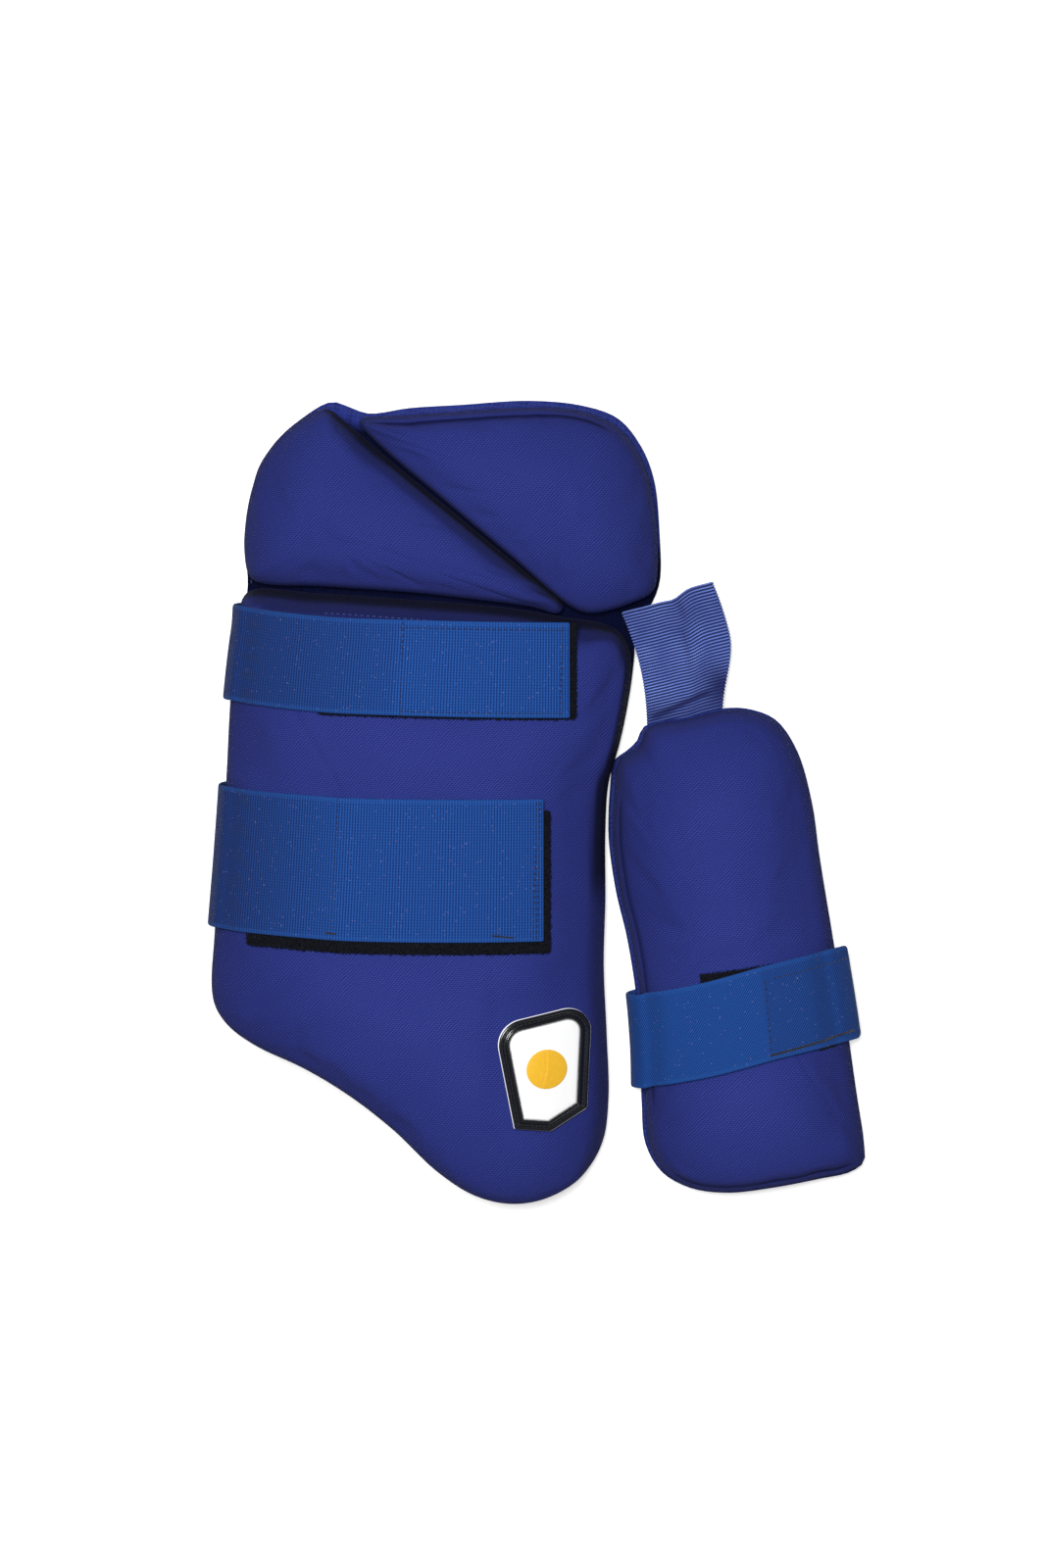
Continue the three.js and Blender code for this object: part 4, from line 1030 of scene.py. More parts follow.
def pad_cloth():
    """Polyester twill cover over foam: a matt diagonal weave with a faint nap and a soft sheen."""
    finish, tree, shader, turn = new_finish(
        "Polyester twill cover", 0.85, True, (0.0, 0.0, math.radians(-47)), Sheen_Weight=0.02, Sheen_Roughness=0.5,
        Specular_IOR_Level=0.05)
    # The real ribs are about 1 mm apart. They are drawn a little coarser so that they show.
    split = step(tree, "ShaderNodeSeparateXYZ", {"Vector": turn})
    wander = noise(tree, turn, 0.05, 2.0)
    slub = noise(tree, turn, 0.32, 2.0)
    drift = scaled_sum(tree, wander, 2.2, split.outputs["Y"])
    sway = scaled_sum(tree, slub, 1.1, drift)
    rib_turn = step(tree, "ShaderNodeMath", {0: sway, 1: 2 * math.pi / TWILL_RIB}, operation="MULTIPLY")
    rib = step(tree, "ShaderNodeMath", {0: rib_turn}, operation="SINE")
    lag = step(tree, "ShaderNodeMath", {0: rib_turn, 1: 0.8}, operation="MULTIPLY")
    yarn_turn = scaled_sum(tree, split.outputs["X"], 2 * math.pi / TWILL_RIB, lag)
    yarn = step(tree, "ShaderNodeMath", {0: yarn_turn}, operation="SINE")
    weave = scaled_sum(tree, yarn, 0.65, rib)
    fuzz = noise(tree, turn, 1.6, 3.0, 0.7)
    height = scaled_sum(tree, fuzz, 2.0, weave)
    share = ranged(tree, height, -0.8, 2.8)
    thread = mixed(tree, share, linear("#171c55"), linear("#3e4aa2"))
    cloud = noise(tree, turn, 0.012, 3.0)
    tone = ranged(tree, cloud, 0.3, 0.7, 0.0, 0.35)
    faded = mixed(tree, tone, thread, linear("#21286a"))
    # Painted shade darkens the cloth towards the pads' edges, along the pinched seams and most on the side walls and
    # in the grooves.
    edge = step(tree, "ShaderNodeAttribute", attribute_name="edge_mm").outputs["Fac"]
    near = ranged(tree, edge, 0.5, 48.0, 0.34, 0.0)
    edge_shaded = mixed(tree, near, faded, linear("#1b1e52"))
    side = step(tree, "ShaderNodeAttribute", attribute_name="painted_wall_shade").outputs["Fac"]
    seam = step(tree, "ShaderNodeAttribute", attribute_name="seam").outputs["Fac"]
    line = ranged(tree, seam, 0.3, 0.9, 0.0, 0.9)
    seam_shaded = mixed(tree, line, edge_shaded, linear("#0a0e33"))
    wall_shaded = mixed(tree, side, seam_shaded, linear("#030524"))
    rough = ranged(tree, height, -1.0, 2.4, 0.95, 0.75)
    tree.links.new(rough.outputs[0], shader.inputs["Roughness"])
    return surfaced(finish, wall_shaded, height, 0.5)


def lining_cloth():
    """Brushed polyester lining on the backing, finely meshed: darker than the pads, and near black as painted shade
    where it shows in the grooves and notches.
    """
    finish, tree, _, scaled = new_finish("Brushed polyester lining", 0.92, turn=(0.0, 0.0, math.radians(8)),
                                         Specular_IOR_Level=0.03)
    # A 1.6 mm mesh is drawn 2.4 mm across so that it shows.
    cells = step(tree, "ShaderNodeTexVoronoi", {"Vector": scaled, "Scale": 0.42, "Randomness": 0.25})
    fuzz = noise(tree, scaled, 1.3, 3.0)
    height = scaled_sum(tree, fuzz, 0.5, cells.outputs["Distance"])
    share = ranged(tree, height, 0.2, 0.95)
    thread = mixed(tree, share, linear("#04061a"), linear("#0c1130"))
    cloud = noise(tree, scaled, 0.015, 2.0)
    tone = mixed(tree, cloud, thread, linear("#070a22"))
    # Where the flange value is set, the sewn flange is turned over with the pads' own cloth. Elsewhere it keeps the
    # lining's near black as painted shade.
    flange = step(tree, "ShaderNodeAttribute", attribute_name="flange").outputs["Fac"]
    turned_over = mixed(tree, share, linear("#1a225c"), linear("#2b3783"))
    cloth = mixed(tree, flange, tone, turned_over)
    return surfaced(finish, cloth, height, 0.5)


def woven_elastic(name, slant, cords):
    """Knitted polyester elastic: fine ribs across the strap, flecks of rubber and a paler woven edge."""
    finish, tree, _, scaled = new_finish(name, 0.78, True, Sheen_Weight=0.03, Sheen_Roughness=0.4,
                                         Specular_IOR_Level=0.1)
    split = step(tree, "ShaderNodeSeparateXYZ", {"Vector": scaled})
    # The ribs run across the strap, and slant on the strap that is twilled.
    lean = scaled_sum(tree, split.outputs["Y"], slant, split.outputs["X"])
    rib = waved(tree, lean, ELASTIC_RIB)
    cord = waved(tree, split.outputs["Y"], ELASTIC_RIB)
    weave = scaled_sum(tree, cord, cords, rib)
    fuzz = noise(tree, scaled, 1.2, 3.0, 0.7)
    height = scaled_sum(tree, fuzz, 1.8, weave)
    share = ranged(tree, height, -0.4, 2.2)
    thread = mixed(tree, share, linear("#0a2562"), linear("#2659a8"))
    # The stretched part is darker than the flat sewn tab at the free end. On the outer straps, painted shade also
    # darkens it towards the left edge, where the strap turns away from the light.
    tab_and_shade = step(tree, "ShaderNodeAttribute", attribute_name="tab_and_shade").outputs["Fac"]
    stretch_and_shade = ranged(tree, tab_and_shade, 0.0, 1.0, 0.72, 0.0)
    body = mixed(tree, stretch_and_shade, thread, linear("#1a2453"))
    rim = step(tree, "ShaderNodeAttribute", attribute_name="rim_mm").outputs["Fac"]
    edge = ranged(tree, rim, 1.5, 2.3, 0.35, 0.0)
    edged = mixed(tree, edge, body, linear("#22529c"))
    # Flecks of pale and reddish yarn show through here and there.
    fleck = step(tree, "ShaderNodeTexVoronoi", {"Vector": scaled, "Scale": 0.5, "Randomness": 1.0})
    fine = ranged(tree, fleck.outputs["Distance"], 0.08, 0.2, 0.6, 0.0)
    pick = step(tree, "ShaderNodeSeparateColor", {"Color": fleck.outputs["Color"]})
    some = step(tree, "ShaderNodeMath", {0: pick.outputs["Red"], 1: 0.62}, operation="GREATER_THAN")
    amount = step(tree, "ShaderNodeMath", {0: fine, 1: some}, operation="MULTIPLY")
    hue = mixed(tree, pick.outputs["Green"], linear("#6f86c0"), linear("#8a5a7a"))
    flecked = mixed(tree, amount, edged, hue)
    return surfaced(finish, flecked, height, 0.5)


def woven_webbing():
    """Ribbed polypropylene webbing: shiny pale ribs over darker gaps."""
    finish, tree, _, scaled = new_finish("Woven polypropylene webbing", 0.55, True, Sheen_Weight=0.03,
                                         Specular_IOR_Level=0.2)
    split = step(tree, "ShaderNodeSeparateXYZ", {"Vector": scaled})
    rib = waved(tree, split.outputs["X"], WEBBING_RIB)
    yarn = waved(tree, split.outputs["Y"], WEBBING_YARN)
    weave = scaled_sum(tree, yarn, 0.22, rib)
    fuzz = noise(tree, scaled, 0.9, 3.0)
    height = scaled_sum(tree, fuzz, 0.9, weave)
    share = ranged(tree, height, -0.15, 1.3)
    thread = mixed(tree, share, linear("#0a1048"), linear("#7690e2"))
    cloud = noise(tree, scaled, 0.06, 2.0)
    tone = ranged(tree, cloud, 0.35, 0.7, 0.0, 0.5)
    toned = mixed(tree, tone, thread, linear("#2b3a80"))
    # Painted shade darkens the tape along its crease, where it tucks under the guard, and towards its bottom and top.
    webbing_shade = step(tree, "ShaderNodeAttribute", attribute_name="webbing_shade").outputs["Fac"]
    painted_shade = mixed(tree, webbing_shade, toned, linear("#141a52"))
    return surfaced(finish, painted_shade, height, 0.5)


def loop_pile(name, roughness):
    """Napped nylon loop tape: a black fuzz that takes almost no light."""
    finish, tree, _, scaled = new_finish(name, roughness, Sheen_Weight=0.02, Specular_IOR_Level=0.06)
    tufts = noise(tree, scaled, 0.8, 4.0, 0.75)
    share = ranged(tree, tufts, 0.35, 0.7)
    fibre = mixed(tree, share, linear("#050609"), linear("#1d1f27"))
    return surfaced(finish, fibre, tufts, 0.8, 0.0006)


def moulded_rubber(name, base, shade, roughness, coat):
    """Moulded soft PVC: an even colour with a satin skin and the faint mottle of the mould."""
    finish, tree, shader, scaled = new_finish(name, roughness, IOR=1.52, Coat_Weight=coat, Coat_Roughness=0.15)
    mottle = noise(tree, scaled, 0.35, 4.0)
    tone = ranged(tree, mottle, 0.35, 0.65, 0.0, 0.4)
    colour = mixed(tree, tone, linear(base), linear(shade))
    rough = ranged(tree, mottle, 0.0, 1.0, roughness - 0.03, roughness + 0.04)
    tree.links.new(rough.outputs[0], shader.inputs["Roughness"])
    grain = noise(tree, scaled, 2.4, 2.0)
    return surfaced(finish, colour, grain, 0.02, 0.0001)


def spun_thread(name, base, light):
    """Spun polyester sewing thread: two plies twisted together, slightly lustrous."""
    finish, tree, _, scaled = new_finish(name, 0.6, turn=(0.4, 0.3, 0.7), Sheen_Weight=0.2, Specular_IOR_Level=0.3)
    plies = step(tree, "ShaderNodeTexWave", {"Vector": scaled, "Scale": 0.8, "Distortion": 1.5, "Detail": 1.0})
    colour = mixed(tree, plies, linear(base), linear(light))
    return surfaced(finish, colour, plies, 0.3, 0.0001)


TWILL = pad_cloth()
LINING = lining_cloth()
ELASTIC = woven_elastic("Ribbed polyester elastic", 0.0, 0.3)
TWILLED_ELASTIC = woven_elastic("Twilled polyester elastic", 0.8, 0.1)
WEBBING = woven_webbing()
PILE = loop_pile("Black nylon loop pile", 0.95)
HOOK = loop_pile("Black nylon hook tape", 0.6)
BLACK_RUBBER = moulded_rubber("Black moulded soft PVC", "#05070e", "#0b0f1a", 0.22, 0.8)
WHITE_RUBBER = moulded_rubber("White moulded soft PVC", "#ffffff", "#fbfbfb", 0.3, 0.3)
YELLOW_RUBBER = moulded_rubber("Yellow moulded soft PVC", "#f3bd2e", "#e8ae24", 0.34, 0.3)
NAVY_THREAD = spun_thread("Navy polyester thread", "#131a45", "#27316f")
BLUE_THREAD = spun_thread("Blue polyester thread", "#050a26", "#101f4e")
PALE_THREAD = spun_thread("Pale blue polyester thread", "#262f70", "#46549a")
BLACK_THREAD = spun_thread("Black polyester thread", "#06070c", "#16181f")
YELLOW_THREAD = spun_thread("Yellow polyester thread", "#c98f1a", "#f0c550")
STITCHES = stitch_tree()
CURLS = pile_tree()


def stitched(name, slot, lines, thread, pitch=3.0, length=2.2, radius=0.3):
    return dressed(grown(line_mesh(name, lines), STITCHES, name, Pitch=pitch * 0.001, Length=length * 0.001,
                         Thread=radius * 0.001, Finish=thread), thread, slot)


# Making the pads

def cover(name, pad, node, clear, pucker=None):
    piece, fixed, away = pad_piece(name, pad)
    x, y = across_and_up(places(piece)).T
    most = (FILL_LEAST + (FILL_MOST - FILL_LEAST) * ease(clear(x, y), 1.5, 16)) * ease(away, 1.5, 9)
    noted(piece, "edge_mm", away)
    swollen(piece, fixed, most)
    found = places(piece)
    found[:, 2] -= noted_on(piece, "seam") * SEAM_PINCH * 0.001
    if pucker:
        found[:, 2] -= pucker(x, y) * 0.001
    piece.data.vertices.foreach_set("co", found.ravel())
    subdivided(piece)
    dressed(piece, TWILL, "pad_cloth", node)
    return piece


thigh_cover = cover("thigh_pad_cover", thigh, "thigh_pad", clear_of_straps)
cover("left_hip_cover", left_hip, "hip_pad_left", lambda x, y: np.full(len(x), 20.0))
cover("right_hip_cover", right_hip, "hip_pad_right", lambda x, y: np.full(len(x), 20.0))


def by_line(start, end, flat):
    """How far places lie along and beside a line between two places in the photo, and its length."""
    one, two = np.array(from_photo(*start)), np.array(from_photo(*end))
    reach = np.linalg.norm(two - one)
    way = (two - one) / reach
    return (flat - one) @ way, (flat - one) @ np.array([-way[1], way[0]]), reach


def fold(start, end, deep, wide):
    """A short soft fold between two places in the photo, deepest at its start."""
    def depth(x, y):
        run, beside, reach = by_line(start, end, np.column_stack([x, y]))
        return deep * np.exp(-(beside / wide) ** 2) * ease(run, -2, 1) * (1 - ease(run, 0, reach))

    return depth


shoulder_folds = [fold((634, 776), (668, 756), 1.6, 1.5), fold((637, 790), (660, 783), 0.8, 1.3),
                  fold((868, 1186), (838, 1196), 1.2, 1.5)]
cover("inner_pad_cover", inner, "inner_pad", clear_of_inner_strap,
      lambda x, y: sum(each(x, y) for each in shoulder_folds))

# Only the flange at the waist shows the pads' cloth. The rest of the guard's edge keeps the lining's near black as
# painted shade.
guard_back = backing_piece("guard_backing_shell", guard_edge, OUTER, np.array([GUARD_PLACE[0], 10.0]),
                           BACKING_THICKNESS, lambda x, y: ease(y, 126, 136))
dressed(guard_back, LINING, "backing_cloth", "guard_backing")
inner_back = backing_piece("inner_backing_shell", inner_edge, INNER, np.array(INNER_CENTRE), BACKING_THICKNESS,
                           lambda x, y: np.full(len(x), 0.85))
dressed(inner_back, LINING, "backing_cloth", "inner_backing")

# Making the straps

def outer_strap(name, strap, node, tab_at, sewn):
    offsets = offsets_across(strap["width"])
    piece = band(name, [outer_strap_path(strap, o) for o in offsets], offsets, STRAP_THICKNESS)
    # Painted shade darkens the stretched part slowly towards the left edge, where the strap turns away from the
    # light.
    x = strap["end"] - noted_on(piece, "along_mm")
    noted(piece, "tab_and_shade", np.where(x > tab_at, sewn, 0.8 * np.clip((x + 175) / (tab_at + 175), 0, 1)))
    return dressed(subdivided(piece), ELASTIC, "elastic", node)


upper_strap = outer_strap("upper_strap_band", UPPER, "upper_strap", from_photo(409, 0)[0], 0.97)
lower_strap = outer_strap("lower_strap_band", LOWER, "lower_strap", from_photo(341, 0)[0], 0.9)
offsets = offsets_across(INNER_STRAP["width"])
inner_strap = band("inner_strap_band", [inner_strap_path(o) for o in offsets], offsets, STRAP_THICKNESS, corner=4.5)
# On the inner strap, the sewn tab at the free end is the darker part.
noted(inner_strap, "tab_and_shade", np.where(noted_on(inner_strap, "along_mm") < INNER_TAB_LENGTH, 0.6, 0.9))
dressed(subdivided(inner_strap), TWILLED_ELASTIC, "elastic", "inner_strap")
# The hook tape on the back of the tab shows a little below it, near its free end.
hook_offsets = offsets_across(9, 3.0) - 21.9
hook_drop = STRAP_THICKNESS / 2 + PIECE_GAP + PATCH_THICKNESS / 2
hook_tape = band("inner_hook_tape", [inner_strap_path(o, hook_drop)[4:6] for o in hook_offsets], hook_offsets,
                 PATCH_THICKNESS)
dressed(hook_tape, HOOK, "loop_pile")


def shown_part(piece, hidden):
    """Marks the part of a loop patch that no strap covers."""
    x, y = across_and_up(places(piece)).T
    noted(piece, "shown", (~hidden(x, y)).astype(float))


def with_pile(piece, node, density, curl, seed):
    """Dresses a loop patch and grows its pile as a piece of its own."""
    curls = grown(piece, CURLS, piece.name + "_pile", keep_source=True, Density=density, Curl=curl, Fibre=0.00009,
                  Seed=seed, Finish=PILE)
    dressed(curls, PILE, "loop_pile")
    dressed(piece, PILE, "loop_pile", node)


def outer_patch(name, strap, patch, node, seed):
    offsets = offsets_across(patch["width"], 3.0)

    def middle(across):
        return strap_middle(strap, min(across, strap["end"])) + patch["shift"]

    paths = patch_paths(thigh, strap["end"] + PATCH_SHOWN - patch["length"], strap["end"] + PATCH_SHOWN, offsets,
                        middle, lambda across, along: (across, along))
    piece = band(name, paths, offsets, PATCH_THICKNESS, corner=1.5)
    shown_part(piece, lambda x, y: (x < strap["end"] - 1) & (
        np.abs(y - strap_middle(strap, x)) < strap["width"] / 2 - 1))
    with_pile(piece, node, 1.6e6, 0.00075, seed)


outer_patch("upper_loop_tape", UPPER, UPPER_PATCH, "upper_loop_patch", 3)
outer_patch("lower_loop_tape", LOWER, LOWER_PATCH, "lower_loop_patch", 5)


def inner_patch():
    offsets = offsets_across(INNER_PATCH["width"], 3.0)
    half = INNER_PATCH["length"] / 2

    def middle(across):
        bow = read(INNER_STRAP["bow"], 0.5 + across / INNER_SIZE[0])
        return INNER_STRAP["place"] + INNER_PATCH["shift"] + INNER_PATCH["rise"] * bow

    paths = patch_paths(inner, INNER_PATCH["place"] - half, INNER_PATCH["place"] + half, offsets, middle,
                        lambda across, along: to_shared(INNER, across, along))
    piece = band("inner_loop_tape", paths, offsets, PATCH_THICKNESS, corner=1.5)
    shown_part(piece, lambda x, y: above_inner_strap(*turned(INNER, x, y)) < INNER_STRAP["width"] / 2 - 1)
    with_pile(piece, "inner_loop_patch", 1.2e6, 0.0007, 7)


inner_patch()

# Making the webbing

def top_step(share):
    """The tape's top edge runs level to its fold and then steps up."""
    return 1.4 * float(ease(share, 0.0, 0.22)) - 2.0 * math.exp(-((share - 0.08) / 0.13) ** 2)


def webbing_place(share, up, drop, past):
    turn = math.radians(WEBBING_TURN)
    u = share * WEBBING_SIZE[0] + WEBBING_SKEW * (up - 0.5) + WEBBING_BOW * 4 * up * (1 - up)
    # It is gathered at the right where it goes under the inner guard.
    u -= (share + 0.5) * 8.5 * float(ease(1 - up, 0.35, 0.85))
    v = (up - 0.5) * WEBBING_SIZE[1] + (past + 0.5 * math.sin(share * 9) + 3.1 * share + top_step(share)) * up
    x = WEBBING_PLACE[0] + u * math.cos(turn) - v * math.sin(turn)
    y = WEBBING_PLACE[1] + u * math.sin(turn) + v * math.cos(turn)
    free = WEBBING_TOP - WEBBING_TWIST * 2 * share * (2 * up - 1)
    under = float(hollow(INNER, x, y)) - PIECE_GAP - WEBBING_THICKNESS / 2 - 0.2
    return x, y, min(free, under + float(ease(up, 0.2, 0.55)) * 40) + drop


def webbing_piece():
    fold = WEBBING_FOLD
    steps = [(up, -2 * fold, 0) for up in np.linspace(0, 1, 41)]
    for turn in np.linspace(-60, 60, 5):
        steps.append((1, -fold + fold * math.sin(math.radians(turn)), fold * math.cos(math.radians(turn))))
    steps += [(up, 0, 0) for up in np.linspace(1, 0, 41)]
    offsets = offsets_across(WEBBING_SIZE[0], 3.0)
    paths = [np.array([webbing_place(o / WEBBING_SIZE[0], *s) for s in steps]) for o in offsets]
    piece = band("webbing_loop_tape", paths, offsets, WEBBING_THICKNESS - 0.3, spacing=0.4, rounded=False)
    # The ribs across the tape are real.
    along = noted_on(piece, "along_mm")
    normals = np.empty(len(along) * 3)
    piece.data.vertex_normals.foreach_get("vector", normals)
    found = places(piece) + normals.reshape(-1, 3) * (np.sin(along * 2 * math.pi / WEBBING_RIB) * 0.0003)[:, None]
    # A soft crease runs across both layers, and the corner beyond it is pressed down.
    flat = across_and_up(found)
    run, beside, _ = by_line((668, 731), (722, 706), flat)
    dent = np.exp(-(beside / 1.5) ** 2) * ease(run, -6, 3) * (1 - ease(run, 24, 34))
    tucked = np.exp(-(np.linalg.norm(flat - np.array(from_photo(734, 700)), axis=1) / 11) ** 2)
    # A second, fainter fold runs down the tape from the step in its top edge.
    run, beside, _ = by_line((690, 610), (706, 700), flat)
    length = np.exp(-(beside / 1.6) ** 2) * (1 - ease(run, 25, 48))
    found[:, 2] -= (1.3 * dent + 0.9 * tucked + 0.7 * length) * 0.001
    piece.data.vertices.foreach_set("co", found.ravel())
    # Painted shade: most along the crease and at the tucked corner, some towards the bottom where the tape goes under
    # the inner guard, some along the fold and a little at the top.
    up = found[:, 1] * 1000 - SHIFT[1]
    low = 1 - ease(up, from_photo(0, 738)[1], from_photo(0, 700)[1])
    high = ease(up, from_photo(0, 668)[1], from_photo(0, 630)[1])
    painted_shade = 0.85 * dent + 0.95 * tucked + 0.5 * low + 0.2 * high + 0.3 * length
    noted(piece, "webbing_shade", np.clip(painted_shade, 0, 0.92))
    return dressed(piece, WEBBING, "webbing", "webbing_loop")


webbing_piece()

# Making the badge

badge_corners = [(*from_photo(x, y), radius) for x, y, radius in BADGE_CORNERS]


def seat(x, y):
    return pad_top(thigh, x, y) + PIECE_GAP


def badge_ring(inset, height):
    ring = rounded_corners(badge_corners, inset)
    return np.column_stack([ring, seat(ring[:, 0], ring[:, 1]) + height])


# The border's section from its outer foot over two beads, with a groove for stitches between.
border_section = [(0, 0), (0, 1.4), (0.05, 2.3), (0.4, 2.9), (1.0, 3.15), (1.6, 3.0), (2.0, 2.5), (2.3, 2.1),
                  (3.0, 2.0), (3.5, 2.2), (3.7, 2.65), (4.1, 2.95), (4.6, 2.95), (5.1, 2.7), (5.45, 2.35),
                  (BADGE_BORDER, 2.0), (BADGE_BORDER, 0)]
points, faces = skin([badge_ring(*row) for row in border_section], closed=True)
dressed(subdivided(made("badge_border_moulding", points, faces)), BLACK_RUBBER, "badge_rubber", "badge_border")


def badge_face():
    rings = [badge_ring(BADGE_BORDER + 0.3, h) for h in (0, 1.2, 2.0)]
    rings += [badge_ring(BADGE_BORDER + 0.7, BADGE_FACE_HEIGHT)]
    edge = rings[-1][:, :2]
    for share in (0.85, 0.65, 0.45, 0.25):
        ring = np.array(BADGE_PLACE) + (edge - BADGE_PLACE) * share
        rings.append(np.column_stack([ring, seat(ring[:, 0], ring[:, 1]) + BADGE_FACE_HEIGHT]))
    middle = seat(*BADGE_PLACE)
    low = np.array(BADGE_PLACE) + (badge_ring(BADGE_BORDER + 0.3, 0)[:, :2] - BADGE_PLACE) * 0.5
    low = np.column_stack([low, seat(low[:, 0], low[:, 1])])
    points, faces = skin([low] + rings, [*BADGE_PLACE, middle], [*BADGE_PLACE, middle + BADGE_FACE_HEIGHT])
    return dressed(subdivided(made("badge_white_face", points, faces)), WHITE_RUBBER, "badge_white", "badge_face")


badge_face()


def badge_ball():
    """A plain cricket ball in low relief, with its stitched seam running over it."""
    reach = BALL_DIAMETER / 2
    turns = np.arange(64) / 64 * 2 * math.pi
    ring = np.column_stack([np.cos(turns), np.sin(turns)])

    def at(share, height):
        flat = np.array(BADGE_PLACE) + ring * reach * share
        return np.column_stack([flat, seat(flat[:, 0], flat[:, 1]) + BADGE_FACE_HEIGHT + 0.2 + height])

    def dome(share):
        flat = ring * reach * share
        off = flat[:, 0] - seam_line(flat[:, 1])
        ridge = 0.28 * np.exp(-(off / 1.15) ** 2) + 0.12 * np.exp(-((np.abs(off) - 2.6) / 0.4) ** 2)
        return BALL_HEIGHT * (1 - 0.55 * share ** 3) - 0.25 + ridge

    rings = [at(0.5, 0), at(1, 0), at(1, 0.35)]
    for share in (0.985, 0.95, 0.9, 0.84, 0.77, 0.7, 0.62, 0.54, 0.46, 0.38, 0.3, 0.22, 0.14, 0.07):
        rings.append(at(share, dome(share)))
    middle = float(seat(*BADGE_PLACE)) + BADGE_FACE_HEIGHT + 0.2
    points, faces = skin(rings, [*BADGE_PLACE, middle], [*BADGE_PLACE, middle + BALL_HEIGHT])
    return dressed(subdivided(made("badge_cricket_ball", points, faces)), YELLOW_RUBBER, "badge_yellow", "badge_ball")


def seam_line(up):
    """The seam's way over the ball, bowed to one side and a little tilted."""
    return 1.6 * np.cos(up / BALL_DIAMETER * math.pi) - 0.6 + 0.12 * up


ball = badge_ball()
underlay_rings = []
for inset, height in ((0.8, -0.55), (0.1, -0.5), (-0.15, -0.2), (0.0, 0.1), (0.5, 0.15)):
    ring = badge_ring(inset, height)
    ring[:, 0] -= 0.42
    underlay_rings.append(ring)
middle = float(seat(*BADGE_PLACE))
points, faces = skin(underlay_rings, [*BADGE_PLACE, middle - 0.55], [*BADGE_PLACE, middle - 0.1])
dressed(made("badge_white_underlay", points, faces), WHITE_RUBBER, "badge_white")

# The camera, by which stitches seen in the photo find their places

CAMERA_TILT_RIGHT = math.radians(3)
CAMERA_TILT_UP = math.radians(5)
CAMERA_DISTANCE = 2.8
# The last factor makes the guard as large in the frame as in the photo.
FRAME_HEIGHT = PHOTO_SIZE[1] * PIXEL * 0.001 * 0.988
aim = Vector([*((np.array(from_photo(534.5, 796.5)) + SHIFT[:2]) * 0.001), 0.045])
toward = Vector((math.tan(CAMERA_TILT_RIGHT), math.tan(CAMERA_TILT_UP), 1)).normalized()
sideways = Vector((0, 1, 0)).cross(toward).normalized()
upwards = toward.cross(sideways)

# Making the stitching

bpy.context.view_layer.update()


def seen_on(piece, px, py):
    """Where the camera's line through a place in the photo meets a piece, in mm."""
    scale = FRAME_HEIGHT / PHOTO_SIZE[1]
    eye = aim + toward * CAMERA_DISTANCE
    off = sideways * (px - PHOTO_SIZE[0] / 2) + upwards * (PHOTO_SIZE[1] / 2 - py)
    way = aim + off * scale - eye
    hit = surface_of(piece).ray_cast(eye, way.normalized())[0]
    if hit is None:
        return from_photo(px, py)
    return hit.x * 1000 - SHIFT[0], hit.y * 1000 - SHIFT[1]


def part_of(outline, keep):
    """The longest unbroken run of an outline's points that a test keeps."""
    kept = keep(outline[:, 0], outline[:, 1])
    if kept.all():
        return np.vstack([outline, outline[:1]])
    start = int(np.flatnonzero(~kept)[0])
    order = np.roll(np.arange(len(outline)), -start)
    runs, run = [], []
    for i in order:
        if kept[i]:
            run.append(i)
        elif run:
            runs.append(run)
            run = []
    if run:
        runs.append(run)
    return outline[max(runs, key=len)]


waist_line = part_of(drawn_in(guard_edge, (GUARD_PLACE[0], 10), 2.2), lambda x, y: y > 115)
stitched("waist_flange_stitches", "backing_cloth", [laid_on(guard_back, waist_line, 0.15)], NAVY_THREAD)
thigh_top = part_of(drawn_in(thigh["outline"], THIGH_PLACE, 9.0), lambda x, y: (y > 90) & (x < -30) & (x > -112))
stitched("thigh_top_stitches", "pad_cloth", [laid_on(thigh_cover, thigh_top, 0.05)], PALE_THREAD, 3.2, 1.7, 0.28)
inner_rim = drawn_in(inner_edge, INNER_CENTRE, 1.7)
inner_rim = np.vstack([inner_rim, inner_rim[:1]])
stitched("inner_flange_stitches", "backing_cloth", [laid_on(inner_back, inner_rim, 0.15)], NAVY_THREAD)


def strap_rows(piece, rows):
    """Rows of stitches on a strap, each between two places in the photo."""
    return [laid_on(piece, [seen_on(piece, *place) for place in row], 0.14) for row in rows]


BOX_STITCH = (BLUE_THREAD, 3.0, 2.1, 0.36)
stitched("upper_strap_stitches", "elastic", strap_rows(upper_strap, [
    [(411, 636), (408, 729)], [(574, 641), (571, 729)], [(409, 640), (574, 643)], [(409, 726), (571, 728)],
]), *BOX_STITCH)
stitched("lower_strap_stitches", "elastic", strap_rows(lower_strap, [
    [(345, 816), (337, 958)], [(547.5, 820), (544, 957)], [(551, 820), (547.5, 957)],
]), *BOX_STITCH)
stitched("lower_strap_bartacks", "elastic", strap_rows(lower_strap, [
    [(332, 952), (342, 953)], [(503, 955), (523, 957)],
]), BLACK_THREAD, 0.5, 1.6, 0.45)
stitched("inner_strap_stitches", "elastic", strap_rows(inner_strap, [
    [(781, 1003), (787, 1077)], [(790, 998), (862, 978)],
]), *BOX_STITCH)
stitched("inner_tab_binding", "elastic", strap_rows(inner_strap, [[(787, 1077), (870, 1051)]]), BLACK_THREAD,
         0.7, 1.6, 0.6)
groove = badge_ring(2.75, 2.15)
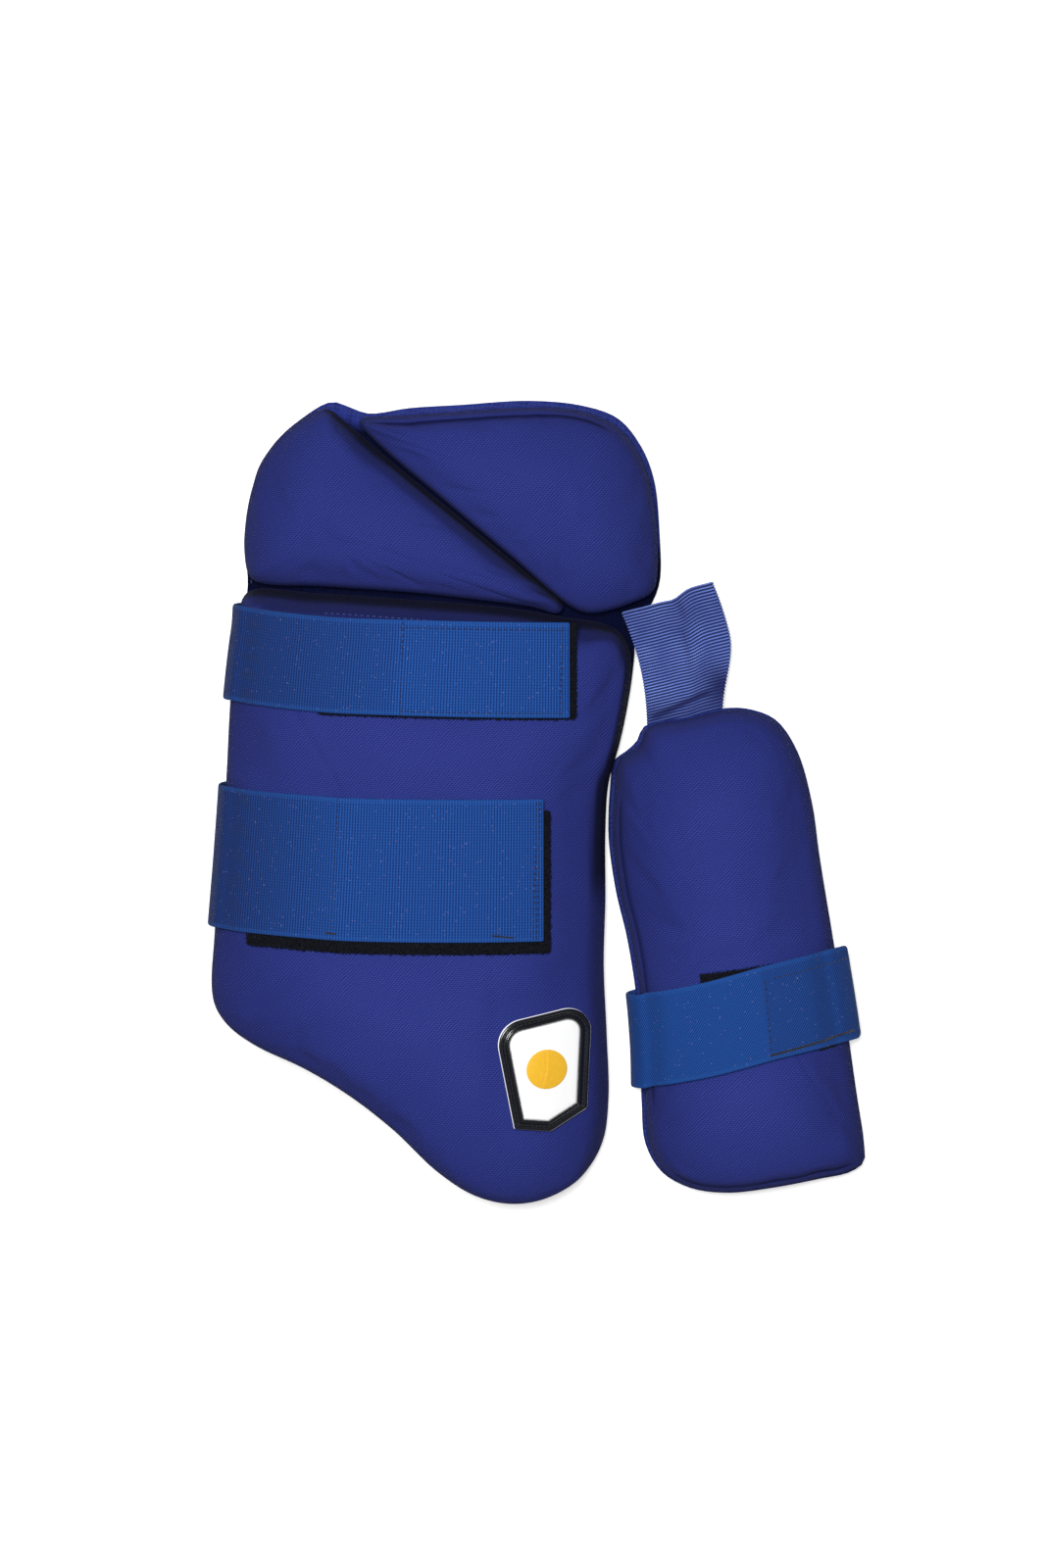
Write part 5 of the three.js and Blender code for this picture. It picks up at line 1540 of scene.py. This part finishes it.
stitched("badge_stitches", "badge_rubber", [np.vstack([groove, groove[:1]])], BLACK_THREAD, 2.4, 1.6, 0.26)
rows = np.linspace(-8.6, 8.6, 22)
seam_rows = []
for side in (-1.75, 1.75):
    line = np.column_stack([seam_line(rows) + side + BADGE_PLACE[0], rows + BADGE_PLACE[1]])
    seam_rows.append(laid_on(ball, line, 0.05, 0.5))
stitched("ball_seam_stitches", "badge_yellow", seam_rows, YELLOW_THREAD, 1.3, 0.9, 0.2)

# Floor, light and camera

def pale_floor():
    finish, tree, shader, scaled = new_finish("Pale studio paper", 0.9, Specular_IOR_Level=0.0)
    grain = noise(tree, scaled, 0.003, 2.0)
    colour = mixed(tree, grain, linear("#fafafa"), linear("#f6f6f6"))
    tree.links.new(colour.outputs[2], shader.inputs["Base Color"])
    tree.links.new(colour.outputs[2], shader.inputs["Emission Color"])
    shader.inputs["Emission Strength"].default_value = FLOOR_GLOW
    mesh = bpy.data.meshes.new("studio_floor")
    half = FLOOR_HALF
    mesh.from_pydata([(-half, -half, 0), (half, -half, 0), (half, half, 0), (-half, half, 0)], [], [(0, 1, 2, 3)])
    floor = bpy.data.objects.new("studio_floor", mesh)
    floor.data.materials.append(finish)
    scene.collection.objects.link(floor)
    # The black gaps between the pieces stay dark, as over a floor that returns little light.
    floor.visible_diffuse = False


pale_floor()

world = bpy.data.worlds.new("studio")
world.use_nodes = True
world.node_tree.nodes["Background"].inputs["Color"].default_value = (1, 1, 1, 1)
world.node_tree.nodes["Background"].inputs["Strength"].default_value = ROOM_LIGHT
scene.world = world

def soft_light(name, place, size, power):
    lamp = bpy.data.lights.new(name, "AREA")
    lamp.shape = "DISK"
    lamp.size = size
    lamp.energy = power
    light = bpy.data.objects.new(name, lamp)
    light.location = place
    light.rotation_euler = (aim - light.location).to_track_quat("-Z", "Y").to_euler()
    scene.collection.objects.link(light)


soft_light("front softbox", aim + Vector(SOFTBOX["place"]), SOFTBOX["size"], SOFTBOX["power"])

lens = bpy.data.cameras.new("camera")
lens.sensor_fit = "VERTICAL"
lens.sensor_height = 36
lens.lens = 36 * CAMERA_DISTANCE / FRAME_HEIGHT
lens.clip_end = 50
camera = bpy.data.objects.new("camera", lens)
camera.location = aim + toward * CAMERA_DISTANCE
camera.rotation_euler = Matrix((sideways, upwards, toward)).transposed().to_euler()
scene.collection.objects.link(camera)
scene.camera = camera

scene.view_settings.view_transform = "Standard"
scene.view_settings.look = "None"
